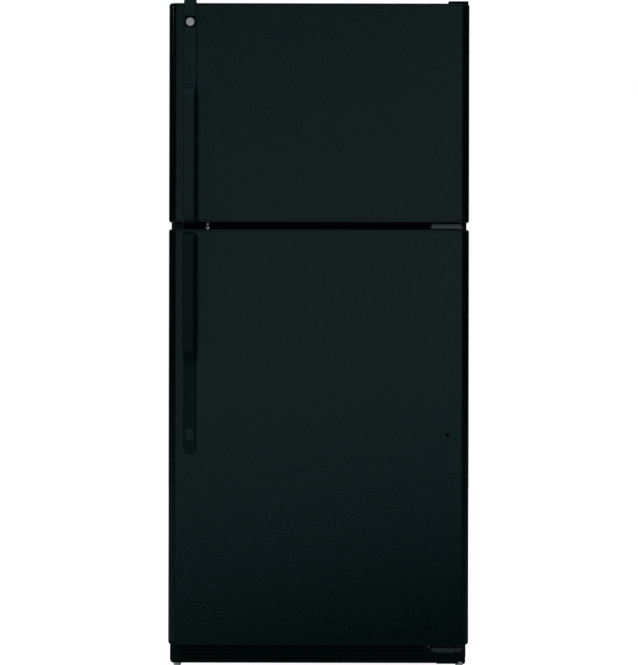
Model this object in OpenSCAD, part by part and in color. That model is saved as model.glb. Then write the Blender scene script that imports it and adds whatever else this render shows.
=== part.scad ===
// Top freezer refrigerator with two right-hung doors.
// The frame is millimetres, X to the right, Y to the back, Z up, with the
// origin on the floor under the middle of the overall box.

/* [Cabinet] */
// Width of the steel case
case_w = 753; // [723:1:797]
// Depth of the steel case, front face to rear panel
case_d = 655; // [630:1:720]
// Height of the case's lower edge over the floor
case_lift = 25; // [19:1:31]
// Thickness of the case sheet
case_t = 1; // [0.8:0.1:1.4]
// Outer radius of the two top edges of the case
case_r = 10; // [6:1:16]
// Width of the case's front lip, which the gaskets close on
lip_w = 34; // [33:1:38]
// Width of the case's rear lip, which the rear panel is screwed to
rear_lip_w = 18; // [14:1:24]
// Thickness of the rear panel
rear_t = 1; // [0.8:0.1:1.6]

/* [Doors] */
// Height of the fresh food door
fresh_door_h = 1040; // [1000:1:1100]
// Height of the freezer door
freezer_door_h = 548.5; // [520:0.5:600]
// Height of the fresh food door's lower edge over the floor
base_h = 71; // [67:1:81]
// Gap between the two doors
door_gap = 18.5; // [17:0.5:22]
// Thickness of both doors
door_t = 60; // [56:1:68]
// How far a door's side stands past the case
door_over = 1.5; // [0:0.5:3]
// Radius of the doors' long front edges
door_r = 20; // [12:1:24]
// How far the freezer door's top edge stands over the case
door_rise = 4; // [2:0.5:6]
// Thickness of the doors' steel skin
skin_t = 1; // [0.8:0.1:1.4]
// Width of the skin's folded rear lips
skin_lip_w = 12; // [8:1:16]
// Height of the moulded caps at each end of a door
cap_t = 6; // [6:0.5:9]
// Radius of the door corners seen from the front
corner_r = 6; // [3:0.5:6]

/* [Gaskets] */
// Room between a shut door and the case, filled by the gasket
gasket_t = 10; // [9:0.5:13]
// Width of a gasket's base strip
gasket_w = 14; // [12:0.5:15]
// Width of the gasket's magnet tube
gasket_tube_w = 9; // [7:0.5:11]
// Thickness of the gasket's base strip
gasket_base_t = 3; // [2:0.5:4]
// Distance from a door's side to its gasket
gasket_side = 20; // [19:0.5:22]
// Distance from a door's top or bottom to its gasket
gasket_end = 7; // [7:0.5:8]

/* [Walls] */
// Thickness of the fresh food side walls
fresh_wall = 48; // [46:1:56]
// Thickness of the freezer side walls
freezer_wall = 58; // [56:1:66]
// Thickness of the freezer ceiling
top_wall = 58; // [54:1:66]
// Thickness of the rear wall
rear_wall = 62; // [56:1:70]
// Thickness of the wall between the two compartments
mullion_t = 68; // [66:1:74]
// Rise from the fresh food door's lower edge to the compartment's floor
sill_h = 44; // [40:1:50]
// Thickness of the plastic liners
liner_t = 2; // [1.5:0.1:2.5]
// Corner radius of the two compartments
liner_r = 18; // [12:1:22]
// Width of the liners' front flanges above and below an opening
liner_lip = 8; // [6:1:10]

/* [Machine bay] */
// Depth of the machine bay at the lower rear
bay_d = 175; // [170:1:190]
// Height of the machine bay
bay_h = 234; // [224:1:250]
// Thickness of the insulation over and in front of the machine bay
bay_wall = 40; // [34:1:44]
// Height of the base pan over the floor
pan_z = 45; // [43:1:49]
// Thickness of the base pan
pan_t = 1.5; // [1.2:0.1:2]
// Thickness of the hardboard bay cover
bay_cover_t = 3; // [2:0.5:4]
// Pitch of the cooling slots in the bay cover
bay_slot_pitch = 22; // [18:1:30]
// Radius of the compressor's shell
comp_r = 66; // [56:1:70]
// Height of the compressor's shell
comp_h = 150; // [130:1:165]
// Distance from the case's left side to the compressor
comp_in = 160; // [130:1:175]
// Distance between the compressor's feet across the cabinet
comp_feet_x = 168; // [160:1:180]
// Distance between the compressor's feet along the cabinet
comp_feet_y = 96; // [86:1:104]
// Height of the rubber mounts under the compressor
mount_h = 14; // [10:1:18]
// Outer diameter of the refrigerant tubes
tube_d = 6; // [5:0.5:7]
// Number of tube passes in each layer of the condenser
condenser_passes = 5; // [3:1:5]
// Number of layers in the condenser
condenser_layers = 6; // [3:1:6]
// Diameter of the condenser fan
condenser_fan_d = 120; // [100:1:126]
// Depth of the drain pan
drain_h = 22; // [16:1:26]

/* [Handles] */
// Distance from a door's left side to the middle of its handle
handle_in = 55; // [50:0.5:64]
// Width of the handles
handle_w = 32; // [28:0.5:36]
// How far the grips stand out from a door
handle_out = 57; // [50:1:64]
// Thickness of a grip
grip_t = 16; // [13:0.5:18]
// Thickness of a handle's flat pad
pad_out = 8; // [6:0.5:10]
// Length of the freezer handle's flat pad
freezer_pad_l = 202; // [170:1:230]
// How far the freezer handle stands over the door's top edge
freezer_handle_rise = 8; // [0:0.5:10]
// How far the freezer handle reaches below the door's bottom edge
freezer_handle_drop = 7; // [0:0.5:8]
// How far the foot of the freezer handle's leg is set up from its corner
freezer_leg_rake = 8; // [7:0.5:14]
// Length of the fresh food handle
fresh_handle_l = 555.5; // [500:0.5:620]
// Length of the fresh food handle's flat pad
fresh_pad_l = 224; // [180:1:260]
// Distance from the fresh food door's top edge to its handle
fresh_handle_drop = 8.5; // [4:0.5:16]
// Length of the curve between pad and grip
saddle_l = 42; // [34:1:60]
// Outer radius of the corner at the end of a grip
grip_bend_r = 24; // [20:1:30]
// Diameter of the plain disc on the freezer handle
badge_d = 20; // [14:1:21]
// Distance from the freezer door's top edge down to the disc
badge_drop = 49; // [30:0.5:60]
// Width and height of the cap over the fresh food handle's screw
screw_cap = [20, 29]; // [10:0.5:40]
// Height of that screw over the handle's lower end
screw_up = 50; // [30:0.5:60]
// Diameter of the plug in the fresh food door's spare screw hole
plug_d = 11; // [8:0.5:16]

/* [Hinges] */
// Distance from a door's right side to the hinge pins
hinge_in = 26; // [24:0.5:28]
// Diameter of the hinge pins
pin_d = 8; // [6:0.5:9]
// Radial running clearance of the pins
pin_play = 0.05; // [0.03:0.01:0.1]
// Length of pin that enters a door
pin_in = 13; // [10:0.5:15]
// Outer diameter of the hinge bushings
bush_d = 17; // [15:0.5:19]
// Depth of the hinge bushings in the doors
bush_l = 18; // [17:0.5:24]
// Thickness of the hinge plates
hinge_t = 3.5; // [3:0.5:4]
// Width of the centre and bottom hinges
hinge_w = 79; // [74:1:90]
// Height of the centre hinge's front lip
center_lip_h = 10; // [8:0.5:11]
// Height of the bottom hinge's front lip
bottom_lip_h = 10; // [8:0.5:14]
// Distance from the fresh food door down to the bottom hinge's arm
bottom_hinge_drop = 15; // [13:0.5:18]
// Thickness of the plastic thrust washers
washer_t = 1.5; // [1:0.1:2]
// Diameter of the hinge screws
hinge_screw_d = 5; // [4:0.5:6]
// Height of the top hinge's cover over the case
hinge_cover_h = 15; // [14.5:0.5:22]
// Width of the top hinge's cover
hinge_cover_w = 49; // [46:1:54]
// Wall of the moulded covers
cover_t = 1.6; // [1.2:0.1:2]

/* [Fresh food interior] */
// Height of the lower glass shelf over the compartment's floor
shelf_1 = 480; // [440:5:520]
// Height of the upper glass shelf over the compartment's floor
shelf_2 = 705; // [660:5:740]
// Distance from the case front to the front edge of the shelves
shelf_front = 150; // [145:1:180]
// Thickness of the shelf glass
glass_t = 4; // [3:0.5:5]
// Height of the shelf frames
shelf_frame_h = 14; // [12:0.5:18]
// Width of the shelf frames' rims
shelf_rim_w = 16; // [12:1:22]
// Width of the ledges moulded on the side walls
ledge_w = 10; // [8:0.5:13]
// Height of the ledges moulded on the side walls
ledge_h = 7; // [5:0.5:10]
// Height of the crisper frame's underside over the compartment's floor
crisper_roof = 232; // [224:1:240]
// Height of the crisper drawers
crisper_h = 205; // [180:1:212]
// Distance from the case front to the front of the crispers
crisper_front = 128; // [126:1:140]
// Wall of the crisper drawers
crisper_t = 2.5; // [2:0.1:3.5]
// Width of the crispers' sliding rims
rim_w = 8; // [7:0.5:10]
// Width of the control housing
control_w = 300; // [260:1:360]
// Height of the control housing
control_h = 56; // [50:1:64]
// Depth of the control housing
control_d = 190; // [160:1:220]
// Diameter of the temperature knobs
knob_d = 38; // [30:1:44]

/* [Door fittings] */
// Width of the dyke moulded round each door liner
dyke_w = 26; // [22:1:30]
// How far the dyke stands out from the door
dyke_out = 42; // [34:1:46]
// Room between a dyke and the compartment's walls
dyke_room = 14; // [12:1:18]
// Distance from the case front to the back of the door bins
bin_back = 100; // [90:1:108]
// How much shallower the freezer door's bins are
freezer_bin_set = 10; // [0:1:20]
// Wall of the door bins
bin_t = 2.5; // [2:0.1:3.5]
// Height of the door bins
bin_h = 85; // [70:1:95]
// Height of the dairy compartment
dairy_h = 105; // [90:1:115]
// Thickness of the dairy lid
lid_t = 2.5; // [2:0.1:3]

/* [Freezer interior] */
// Height of the wire shelf over the freezer floor
wire_shelf_z = 225; // [190:5:260]
// Room between the freezer door's bins and the wire shelf
wire_shelf_room = 16; // [10:1:30]
// Diameter of the shelf's frame wire
rail_d = 6; // [5:0.5:7]
// Diameter of the shelf's cross wires
wire_d = 3; // [2.5:0.5:4]
// Number of cross wires
wires = 21; // [11:2:27]
// Distance from the evaporator cover to the freezer's rear wall
cover_room = 60; // [56:1:70]
// Number of louvres at the top of the evaporator cover
louvres = 6; // [4:1:7]
// Diameter of the evaporator fan
evap_fan_d = 100; // [80:1:110]

/* [Base] */
// Height of the base grille
grille_h = 53; // [50:1:55]
// Number of louvres in the base grille
grille_slots = 4; // [3:1:5]
// Width of the grille's raised corner block
grille_corner_w = 30; // [24:1:36]
// Height of the toe cover beside the grille over the floor
toe_z = 8; // [7:1:12]
// Diameter of the rollers
roller_d = 34; // [30:1:36]
// Width of the rollers
roller_w = 20; // [14:1:26]
// Diameter of the roller axles
axle_d = 6; // [5:0.5:8]
// Diameter of the levelling legs' threads
leg_d = 10; // [8:0.5:12]
// Diameter of the levelling legs' feet
foot_d = 20; // [16:0.5:22]

/* [Hidden] */
$fn = 48;
tube_fn = 14;

black = [0.075, 0.11, 0.115];
dark = [0.03, 0.05, 0.05];
white = [0.9, 0.91, 0.9];
steel = [0.72, 0.74, 0.75];
clear = [0.75, 0.85, 0.88, 0.5];

// Heights
fresh_top = base_h + fresh_door_h;
freezer_z = fresh_top + door_gap;
door_top = freezer_z + freezer_door_h;
case_top = door_top - door_rise;
mullion_z = freezer_z - door_gap / 2;
fresh_floor = base_h + sill_h;
fresh_roof = mullion_z - mullion_t / 2;
freezer_floor = mullion_z + mullion_t / 2;
freezer_roof = case_top - top_wall;

// Widths and depths, with Y counted from the case front
door_w = case_w + 2 * door_over;
fresh_w = case_w - 2 * fresh_wall;
freezer_w = case_w - 2 * freezer_wall;
rear_y = case_d - rear_wall;
door_back = -gasket_t;
door_front = -gasket_t - door_t;
front_out = gasket_t + door_t + handle_out;
screw_head_h = 2;
overall_d = front_out + case_d + screw_head_h;
case_front = front_out - overall_d / 2;
// A door's rear corner has to turn past the case without touching it
turn_in = sqrt(pow(gasket_t + door_t / 2, 2) - pow(door_t / 2, 2)) - 0.4;
pin_x = door_w / 2 - min(hinge_in, turn_in);
pin_y = -gasket_t - door_t / 2;
handle_x = -door_w / 2 + handle_in;

// Clearances
run_gap = 0.3;
fit_gap = 1;
hole_play = 0.2;
bin_rise = 5;

// The machine bay and the step it makes in the fresh food compartment
bay_y = case_d - bay_d;
bay_top = pan_z + bay_h;
step_y = bay_y - bay_wall;
step_z = bay_top + bay_wall;

module on_front() translate([0, case_front, 0]) children();

module round_rect(w, h, r) {
    square([w - 2 * r, h], center = true);
    square([w, h - 2 * r], center = true);
    for (x = [-1, 1], z = [-1, 1]) translate([x * (w / 2 - r), z * (h / 2 - r)]) circle(r);
}

// A prism along Y whose section is a rounded rectangle between two heights
module bar_y(w, z0, z1, r, y0, y1)
    translate([0, y1, (z0 + z1) / 2]) rotate([90, 0, 0]) linear_extrude(y1 - y0) round_rect(w, z1 - z0, r);

module block(lo, hi) translate(lo) cube(hi - lo);

module rod(from, axis, d, l) {
    turn = axis == "x" ? [0, 90, 0] : axis == "y" ? [-90, 0, 0] : [0, 0, 0];
    translate(from) rotate(turn) cylinder(d = d, h = l);
}

// ---- Cabinet ----

// The case's section seen from the front: square feet and two rounded top edges
module case_section(g) {
    w = case_w - 2 * g;
    r = case_r - g;
    translate([-w / 2, case_lift]) square([w, case_top - g - r - case_lift]);
    translate([-w / 2 + r, case_lift]) square([w - 2 * r, case_top - g - case_lift]);
    for (x = [-1, 1]) translate([x * (w / 2 - r), case_top - g - r]) circle(r);
}

module case_prism(g, y0, y1) translate([0, y1, 0]) rotate([90, 0, 0]) linear_extrude(y1 - y0) case_section(g);

module outer_case() color(black) on_front() difference() {
    case_prism(0, 0, case_d - rear_t);
    case_prism(case_t, case_t, case_d - rear_t - case_t);
    block([-case_w / 2 + lip_w, -1, 0], [case_w / 2 - lip_w, 2, case_top - lip_w]);
    block([-case_w / 2 + rear_lip_w, case_d - 9, 0],
        [case_w / 2 - rear_lip_w, case_d, case_top - rear_lip_w]);
    for (p = concat(rear_screws, bay_screws)) rod([p[0], case_d - 9, p[1]], "y", 4 + 2 * hole_play, 9);
    for (p = top_screws) rod([p[0], p[1], case_top - 5], "z", hinge_screw_d + 2 * hole_play, 9);
}

rear_screws = [for (x = [-1, 1], i = [0 : 4])
    [x * (case_w - rear_lip_w) / 2, bay_top + 14 + i * (case_top - bay_top - 40) / 4]];
bay_screws = [for (x = [-1, 1], z = [pan_z + 14, bay_top - 16]) [x * (case_w - rear_lip_w) / 2, z]];

module rear_panel() color(steel) on_front() difference() {
    intersection() {
        case_prism(0, case_d - rear_t, case_d);
        block([-case_w, 0, bay_top], [case_w, case_d + 1, case_top + 1]);
    }
    for (x = [-1, 0, 1]) panel_groove(x * case_w / 4);
    for (p = rear_screws) rod([p[0], case_d - 9, p[1]], "y", 4 + 2 * hole_play, 19);
}

// A shallow pressed channel that stiffens the rear panel
module panel_groove(x)
    translate([x, case_d - rear_t / 2, (bay_top + case_top) / 2]) rotate([-90, 0, 0])
        linear_extrude(rear_t) round_rect(14, case_top - bay_top - 160, 6.9);

module base_pan() color(steel) on_front() difference() {
    union() {
        block([-case_w / 2 + case_t, case_t, pan_z],
            [case_w / 2 - case_t, case_d - rear_t - case_t, pan_z + pan_t]);
        block([-case_w / 2 + lip_w, 0, pan_z - 12], [case_w / 2 - lip_w, pan_t, fresh_floor - liner_lip]);
    }
    for (p = bottom_screws) rod([p[0], -1, p[1]], "y", hinge_screw_d + 2 * hole_play, pan_t + 2);
}

// The fresh food compartment, grown by g: a rounded box less the step over the machine bay
module fresh_cavity(g) difference() {
    bar_y(fresh_w + 2 * g, fresh_floor - g, fresh_roof + g, liner_r + g, g > 0 ? 0 : -1, rear_y + g);
    block([-fresh_w, step_y + g, 0], [fresh_w, rear_y + 99, step_z - g]);
}

module freezer_cavity(g)
    bar_y(freezer_w + 2 * g, freezer_floor - g, freezer_roof + g, liner_r + g, g > 0 ? 0 : -1, rear_y + g);

module insulation() color([0.93, 0.88, 0.7]) on_front() difference() {
    case_prism(case_t, liner_t, case_d - rear_t - case_t);
    block([-case_w, 0, 0], [case_w, case_d, pan_z + pan_t]);
    block([-case_w, bay_y, 0], [case_w, case_d, bay_top]);
    fresh_cavity(liner_t);
    freezer_cavity(liner_t);
    rod([switch_x, 0, switch_z], "y", switch_d + 2 * fit_gap, switch_l);
}

module ledges(w, z, y0, y1) for (x = [-1, 1])
    block([x > 0 ? w / 2 - ledge_w : -w / 2 - 0.5, y0, z - ledge_h],
        [x > 0 ? w / 2 + 0.5 : -w / 2 + ledge_w, y1, z]);

// The liners' flanges are flush with the case's front lip
module liner_flange(z0, z1) block([-case_w / 2 + lip_w, 0, z0], [case_w / 2 - lip_w, liner_t, z1]);

shelf_z = [fresh_floor + shelf_1, fresh_floor + shelf_2];
ledge_back = rear_y - 60;
crisper_top = fresh_floor + crisper_roof;

module fresh_food_liner() color(white) on_front() {
    difference() {
        union() {
            fresh_cavity(liner_t);
            liner_flange(fresh_floor - liner_lip, fresh_roof + liner_lip);
        }
        fresh_cavity(0);
        rod([switch_x, -1, switch_z], "y", switch_d + 2 * fit_gap, 1 + 2 * liner_t);
    }
    for (z = shelf_z) ledges(fresh_w, z, shelf_front + 20, ledge_back);
    ledges(fresh_w, crisper_top, crisper_front + 6, step_y - 2);
    for (x = [-1, 1])
        block([x > 0 ? fresh_w / 2 - runner_w : -fresh_w / 2 - 0.5, crisper_front + 6, runner_z - 6],
        [x > 0 ? fresh_w / 2 + 0.5 : -fresh_w / 2 + runner_w, step_y - 2, runner_z]);
}

wire_y0 = bin_back - freezer_bin_set + wire_shelf_room;

module freezer_liner() color(white) on_front() {
    difference() {
        union() {
            freezer_cavity(liner_t);
            liner_flange(freezer_floor - liner_lip, case_top - lip_w);
        }
        freezer_cavity(0);
    }
    ledges(freezer_w, freezer_floor + wire_shelf_z, wire_y0 + 12, rear_y - cover_room - 30);
}

module mullion_rail() color(black) on_front() difference() {
    block([-case_w / 2 + lip_w, 0, fresh_roof + liner_lip],
        [case_w / 2 - lip_w, pan_t, freezer_floor - liner_lip]);
    for (p = center_screws) rod([p[0], -1, p[1]], "y", hinge_screw_d + 2 * hole_play, 5);
    for (z = mullion_plug_z) rod([mullion_plug_x, -1, z], "y", 4 + 2 * hole_play, 5);
}

// Two screws fill the spare hinge holes at the handle side of the mullion
mullion_plug_x = -case_w / 2 + 92;
mullion_plug_z = [mullion_z - 1.5, mullion_z + 7.5];

// ---- Hinges ----
top_plate_z = door_top + 1.5;
top_plate_back = 62;
arm_z = fresh_top + 4;
base_arm_z = base_h - bottom_hinge_drop;
hinge_edge = 9;
top_plate_x = [pin_x - 17, pin_x + 14];
top_screws = [[pin_x - 10, 22], [pin_x + 7, 34], [pin_x - 10, 48]];
hinge_x = pin_x + hinge_edge - hinge_w;
center_screws = [for (i = [0 : 1]) [pin_x - 32 - i * 22, mullion_z + 3]];
bottom_screws = [for (i = [0 : 1]) [pin_x - 26 - i * 16, base_arm_z - 10]];
lip_y = pin_y - bush_d / 2 - 2 - hinge_t;
pin_edge = 11;
lip_x = [hinge_x + 3, pin_x + 6];
lip_gap = 3.2;
bottom_plate_h = 20;
washer_top = arm_z + hinge_t + washer_t;

// The top hinge steps up from the case and reaches forward over the freezer door
module top_hinge() color(steel) on_front() {
    difference() {
        union() {
            block([top_plate_x[0], 8, case_top], [top_plate_x[1], top_plate_back, case_top + hinge_t]);
            block([top_plate_x[0], 8, case_top], [top_plate_x[1], 8 + hinge_t, top_plate_z + hinge_t]);
            block([pin_x - pin_edge, pin_y, top_plate_z],
                [pin_x + pin_edge, 8 + hinge_t, top_plate_z + hinge_t]);
            translate([pin_x, pin_y, top_plate_z]) cylinder(r = pin_edge, h = hinge_t);
        }
        for (p = top_screws) rod([p[0], p[1], case_top - 1], "z", hinge_screw_d + 2 * hole_play, 9);
    }
    rod([pin_x, pin_y, door_top - pin_in], "z", pin_d, top_plate_z - door_top + pin_in + 0.01);
}

cover_x = pin_x - 26;
cover_step = 2;
cover_top = case_top + hinge_cover_h;

module top_hinge_cover() color(dark) on_front() difference() {
    hinge_cover_form(0);
    hinge_cover_form(cover_t);
}

// A tapered hood, open below and stepped over the freezer door's top edge
module hinge_cover_form(g) {
    low = case_top - (g > 0 ? 1 : 0);
    translate([cover_x + g, 0, 0]) rotate([90, 0, 90])
        linear_extrude(hinge_cover_w - 2 * g) polygon([
            [pin_y - 14 + g, door_top + 1 - (g > 0 ? 1 : 0)],
            [pin_y - 14 + g, cover_top - 4 - g / 2],
            [pin_y - 10 + g, cover_top - 0.6 - g],
            [pin_y + g, cover_top - g],
            [top_plate_back + 4 - g, cover_top - g],
            [top_plate_back + 10 - g, cover_top - 5 - g],
            [top_plate_back + 10 - g, low],
            [cover_step + g, low], [cover_step + g, door_top + 1 - (g > 0 ? 1 : 0)]]);
}

// A flat hinge arm with rounded corners, from its front lip back to the case
module hinge_arm(z) translate([hinge_x + hinge_w / 2, lip_y / 2, z])
    linear_extrude(hinge_t) round_rect(hinge_w, -lip_y, 3);

module center_hinge() color(dark) on_front() {
    difference() {
        union() {
            block([hinge_x + 3, -hinge_t, fresh_top + 1.5], [pin_x - 14, 0, freezer_z - 1.5]);
            hinge_arm(arm_z);
            block([lip_x[0], lip_y, freezer_z - lip_gap - center_lip_h],
                [lip_x[1], lip_y + hinge_t, freezer_z - lip_gap]);
        }
        for (p = center_screws) rod([p[0], -9, p[1]], "y", hinge_screw_d + 2 * hole_play, 10);
    }
    rod([pin_x, pin_y, fresh_top - pin_in], "z", pin_d, arm_z - fresh_top + pin_in + 0.01);
    rod([pin_x, pin_y, arm_z + hinge_t - 0.01], "z", pin_d, freezer_z - arm_z - hinge_t + pin_in);
}

module bottom_hinge() color(dark) on_front() {
    difference() {
        union() {
            block([hinge_x + 3, -hinge_t, base_arm_z - bottom_plate_h],
                [pin_x - 14, 0, base_arm_z + hinge_t]);
            hinge_arm(base_arm_z);
            block([lip_x[0], lip_y, base_arm_z + hinge_t - bottom_lip_h],
                [lip_x[1], lip_y + hinge_t, base_arm_z + hinge_t]);
        }
        for (p = bottom_screws) rod([p[0], -9, p[1]], "y", hinge_screw_d + 2 * hole_play, 10);
    }
    rod([pin_x, pin_y, base_arm_z + hinge_t - 0.01], "z", pin_d, base_h - base_arm_z - hinge_t + pin_in);
}

module washer(z) translate([pin_x, pin_y, z]) difference() {
    cylinder(d = bush_d, h = washer_t);
    translate([0, 0, -1]) cylinder(d = pin_d + 2 * pin_play, h = washer_t + 2);
}

module hinge_washers() color(white) on_front() {
    washer(arm_z + hinge_t);
    washer(base_arm_z + hinge_t);
}

// A hex-headed screw that stands on a plate, its shank pointing down
module screw(l) {
    cylinder(d = 2 * hinge_screw_d, h = 3.2, $fn = 6);
    translate([0, 0, -l]) cylinder(d = hinge_screw_d, h = l + 0.01);
}

module pan_screw(l) {
    cylinder(d1 = 8, d2 = 6, h = screw_head_h);
    translate([0, 0, -l]) cylinder(d = 4, h = l + 0.01);
}

module screws() color(steel) on_front() {
    for (p = top_screws) translate([p[0], p[1], case_top + hinge_t]) screw(hinge_t + case_t);
    for (p = center_screws) translate([p[0], -hinge_t, p[1]]) rotate([90, 0, 0]) screw(hinge_t + pan_t);
    for (p = bottom_screws) translate([p[0], -hinge_t, p[1]]) rotate([90, 0, 0]) screw(hinge_t + pan_t);
    for (p = rear_screws) translate([p[0], case_d, p[1]]) rotate([-90, 0, 0]) pan_screw(rear_t + case_t);
    for (p = bay_screws) translate([p[0], case_d - rear_t, p[1]]) rotate([-90, 0, 0]) pan_screw(case_t);
    for (z = mullion_plug_z) translate([mullion_plug_x, 0, z]) rotate([90, 0, 0]) pan_screw(pan_t);
}

// ---- Base ----
leg_x = case_w / 2 - 15;
leg_y = 16;
grille_y = 5;
grille_top = base_h - 4;
grille_low = grille_top - grille_h;
grille_x0 = -case_w / 2;
grille_x1 = hinge_x + 18;
grille_t = 3;
grille_out = 14;
grille_front = -grille_y - grille_out;
roller_x = case_w / 2 - 58;
roller_y = case_d - 46;

// A moulded grille with louvres whose blades rise to the back, notched round the bottom hinge,
// with a raised corner block at the left and a separate toe cover at the right
module base_grille() color(dark) on_front() {
    slot_h = 4;
    slot_pitch = (grille_h - 14) / grille_slots;
    slot_x = [grille_x0 + grille_corner_w + 12, hinge_x - 13];
    slot_z = grille_low + 9;
    difference() {
        union() {
            block([grille_x0 + grille_corner_w - 1, grille_front, grille_low],
                [grille_x1, -grille_y, grille_top]);
            corner_plate(grille_x0 + grille_corner_w, grille_x0, grille_low, grille_top, 9,
                grille_front - 2, -grille_y);
        }
        block([grille_x0 + grille_t, grille_front + grille_t, grille_low - 1],
            [grille_x1 - grille_t, -grille_y + 1, grille_top - grille_t]);
        block([hinge_x - 3, grille_front - 1, base_arm_z + hinge_t - bottom_lip_h - 2],
            [grille_x1 + 1, -grille_y + 1, grille_top + 1]);
        block([grille_x0 + grille_corner_w, grille_front - 9, grille_low - 1],
            [grille_x0 + grille_corner_w + 3, grille_front + 1.5, grille_top + 1]);
        for (i = [0 : grille_slots - 1]) block([slot_x[0], grille_front - 1, slot_z + i * slot_pitch],
            [slot_x[1], grille_front + grille_t + 1, slot_z + i * slot_pitch + slot_h]);
    }
    for (i = [0 : grille_slots - 1])
        translate([slot_x[0] - 1, grille_front + grille_t - 0.01, slot_z + i * slot_pitch])
            rotate([90, 0, 90]) linear_extrude(slot_x[1] - slot_x[0] + 2)
                polygon([[0, -2], [1.2, -2], [7.2, slot_h + 1], [6, slot_h + 1], [0, 0]]);
    for (x = [grille_x0 + 70, 0, hinge_x - 14])
        block([x - 6, grille_front + grille_t - 0.01, grille_top - 6],
            [x + 6, 0, grille_top - grille_t + 0.01]);
    difference() {
        corner_plate(grille_x1 + 2, case_w / 2 - 1, toe_z, base_arm_z - bottom_plate_h - 1, 5, -grille_t, 0);
        rod([leg_x, -grille_t - 1, toe_z], "y", leg_d + 2, grille_t + 2);
    }
}

// A plate that faces the front, its lower corner at x1 rounded
module corner_plate(x0, x1, z0, z1, r, y0, y1) translate([0, y1, 0]) rotate([90, 0, 0])
    linear_extrude(y1 - y0) {
        turn = x1 - sign(x1 - x0) * r;
        polygon([[x0, z0], [turn, z0], [turn, z0 + r], [x1, z0 + r], [x1, z1], [x0, z1]]);
        translate([turn, z0 + r]) circle(r);
    }

module foot_brackets() color(steel) on_front() {
    for (x = [-1, 1]) translate([x * roller_x, roller_y, 0]) {
        difference() {
            block([-roller_w / 2 - 3, -22, roller_d / 2 - 7], [roller_w / 2 + 3, 22, pan_z]);
            block([-roller_w / 2 - 1, -23, 0], [roller_w / 2 + 1, 23, pan_z - 2]);
        }
        rod([-roller_w / 2 - 5, 0, roller_d / 2], "x", axle_d, roller_w + 10);
    }
    for (x = [-1, 1]) translate([x * leg_x, leg_y, 0]) difference() {
        block([-9, -12, pan_z - 14], [9, 12, pan_z]);
        rod([0, 0, 0], "z", leg_d + 0.1, pan_z - 1);
    }
}

module roller(x) color(dark) on_front() translate([x * roller_x - roller_w / 2, roller_y, roller_d / 2])
    rotate([0, 90, 0]) difference() {
        union() {
            cylinder(d = roller_d - 4, h = roller_w);
            translate([0, 0, 2]) cylinder(d = roller_d, h = roller_w - 4);
        }
        translate([0, 0, -1]) cylinder(d = axle_d + 0.1, h = roller_w + 2);
        for (z = [-1, roller_w - 3]) translate([0, 0, z]) difference() {
            cylinder(d = roller_d - 10, h = 4);
            translate([0, 0, -1]) cylinder(d = axle_d + 6, h = 6);
        }
    }

module leg(x) color(steel) on_front() translate([x * leg_x, leg_y, 0]) {
    cylinder(d1 = foot_d - 2, d2 = foot_d, h = 2);
    translate([0, 0, 1.99]) cylinder(d = foot_d, h = 4);
    translate([0, 0, 5.98]) cylinder(d = leg_d + 3, h = 8, $fn = 6);
    translate([0, 0, 13.9]) cylinder(d = leg_d, h = pan_z - 16);
}

// ---- Machine bay ----
comp_x = -case_w / 2 + comp_in;
comp_y = bay_y + bay_d / 2 - 2;
comp_z = pan_z + pan_t + mount_h;
comp_feet = [for (x = [-1, 1], y = [-1, 1]) [comp_x + x * comp_feet_x / 2, comp_y + y * comp_feet_y / 2]];
foot_edge = 14;

module compressor() color(dark) on_front() {
    translate([comp_x, comp_y, comp_z]) rotate_extrude() polygon([
        [0, 6], [comp_r - 18, 6], [comp_r - 5, 14], [comp_r, 26], [comp_r, comp_h * 0.55],
        [comp_r + 3, comp_h * 0.55], [comp_r + 3, comp_h * 0.55 + 5], [comp_r - 1, comp_h * 0.55 + 5],
        [comp_r - 3, comp_h - 30], [comp_r - 12, comp_h - 14], [comp_r - 30, comp_h - 3], [0, comp_h]]);
    for (y = [-1, 1])
        block([comp_x - comp_feet_x / 2 - foot_edge, comp_y + y * comp_feet_y / 2 - foot_edge, comp_z],
        [comp_x + comp_feet_x / 2 + foot_edge, comp_y + y * comp_feet_y / 2 + foot_edge, comp_z + 6.01]);
    block([comp_x + comp_r - 12, comp_y - 26, comp_z + 40], [comp_x + comp_r + 22, comp_y + 26, comp_z + 92]);
    for (y = [-14, 14]) rod([comp_x - comp_r - 24, comp_y + y, comp_z + 60], "x", tube_d, 34);
}

module compressor_mounts() color(dark) on_front() for (p = comp_feet)
    translate([p[0], p[1], pan_z + pan_t]) rotate_extrude() polygon([
        [4, 0], [12, 0], [12, 3], [9, mount_h / 2], [11, mount_h], [4, mount_h]]);

swage = 0.8;
coil_x0 = 50;
coil_x1 = case_w / 2 - 62;
coil_pitch_y = 22;
coil_pitch_z = 34;
coil_y = bay_y + 24;
coil_z = pan_z + pan_t + drain_h + 14;

drain_t = 2;
drain_top = pan_z + pan_t + drain_h;
drain_x0 = coil_x0 + 12 - drain_t / 2;
drain_x1 = coil_x1 - 12 + drain_t / 2;

// A half turn of tube that joins two passes a pitch apart, bending towards +X or -X
module bend(at, side, pitch, along_z) translate(at)
    rotate(along_z ? [90, 0, side > 0 ? 0 : 180] : [0, 0, 0])
        rotate([0, 0, along_z ? -90 : (side > 0 ? -90 : 90)])
            rotate_extrude(angle = 180) translate([pitch / 2, 0]) circle(d = tube_d - swage);

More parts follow.
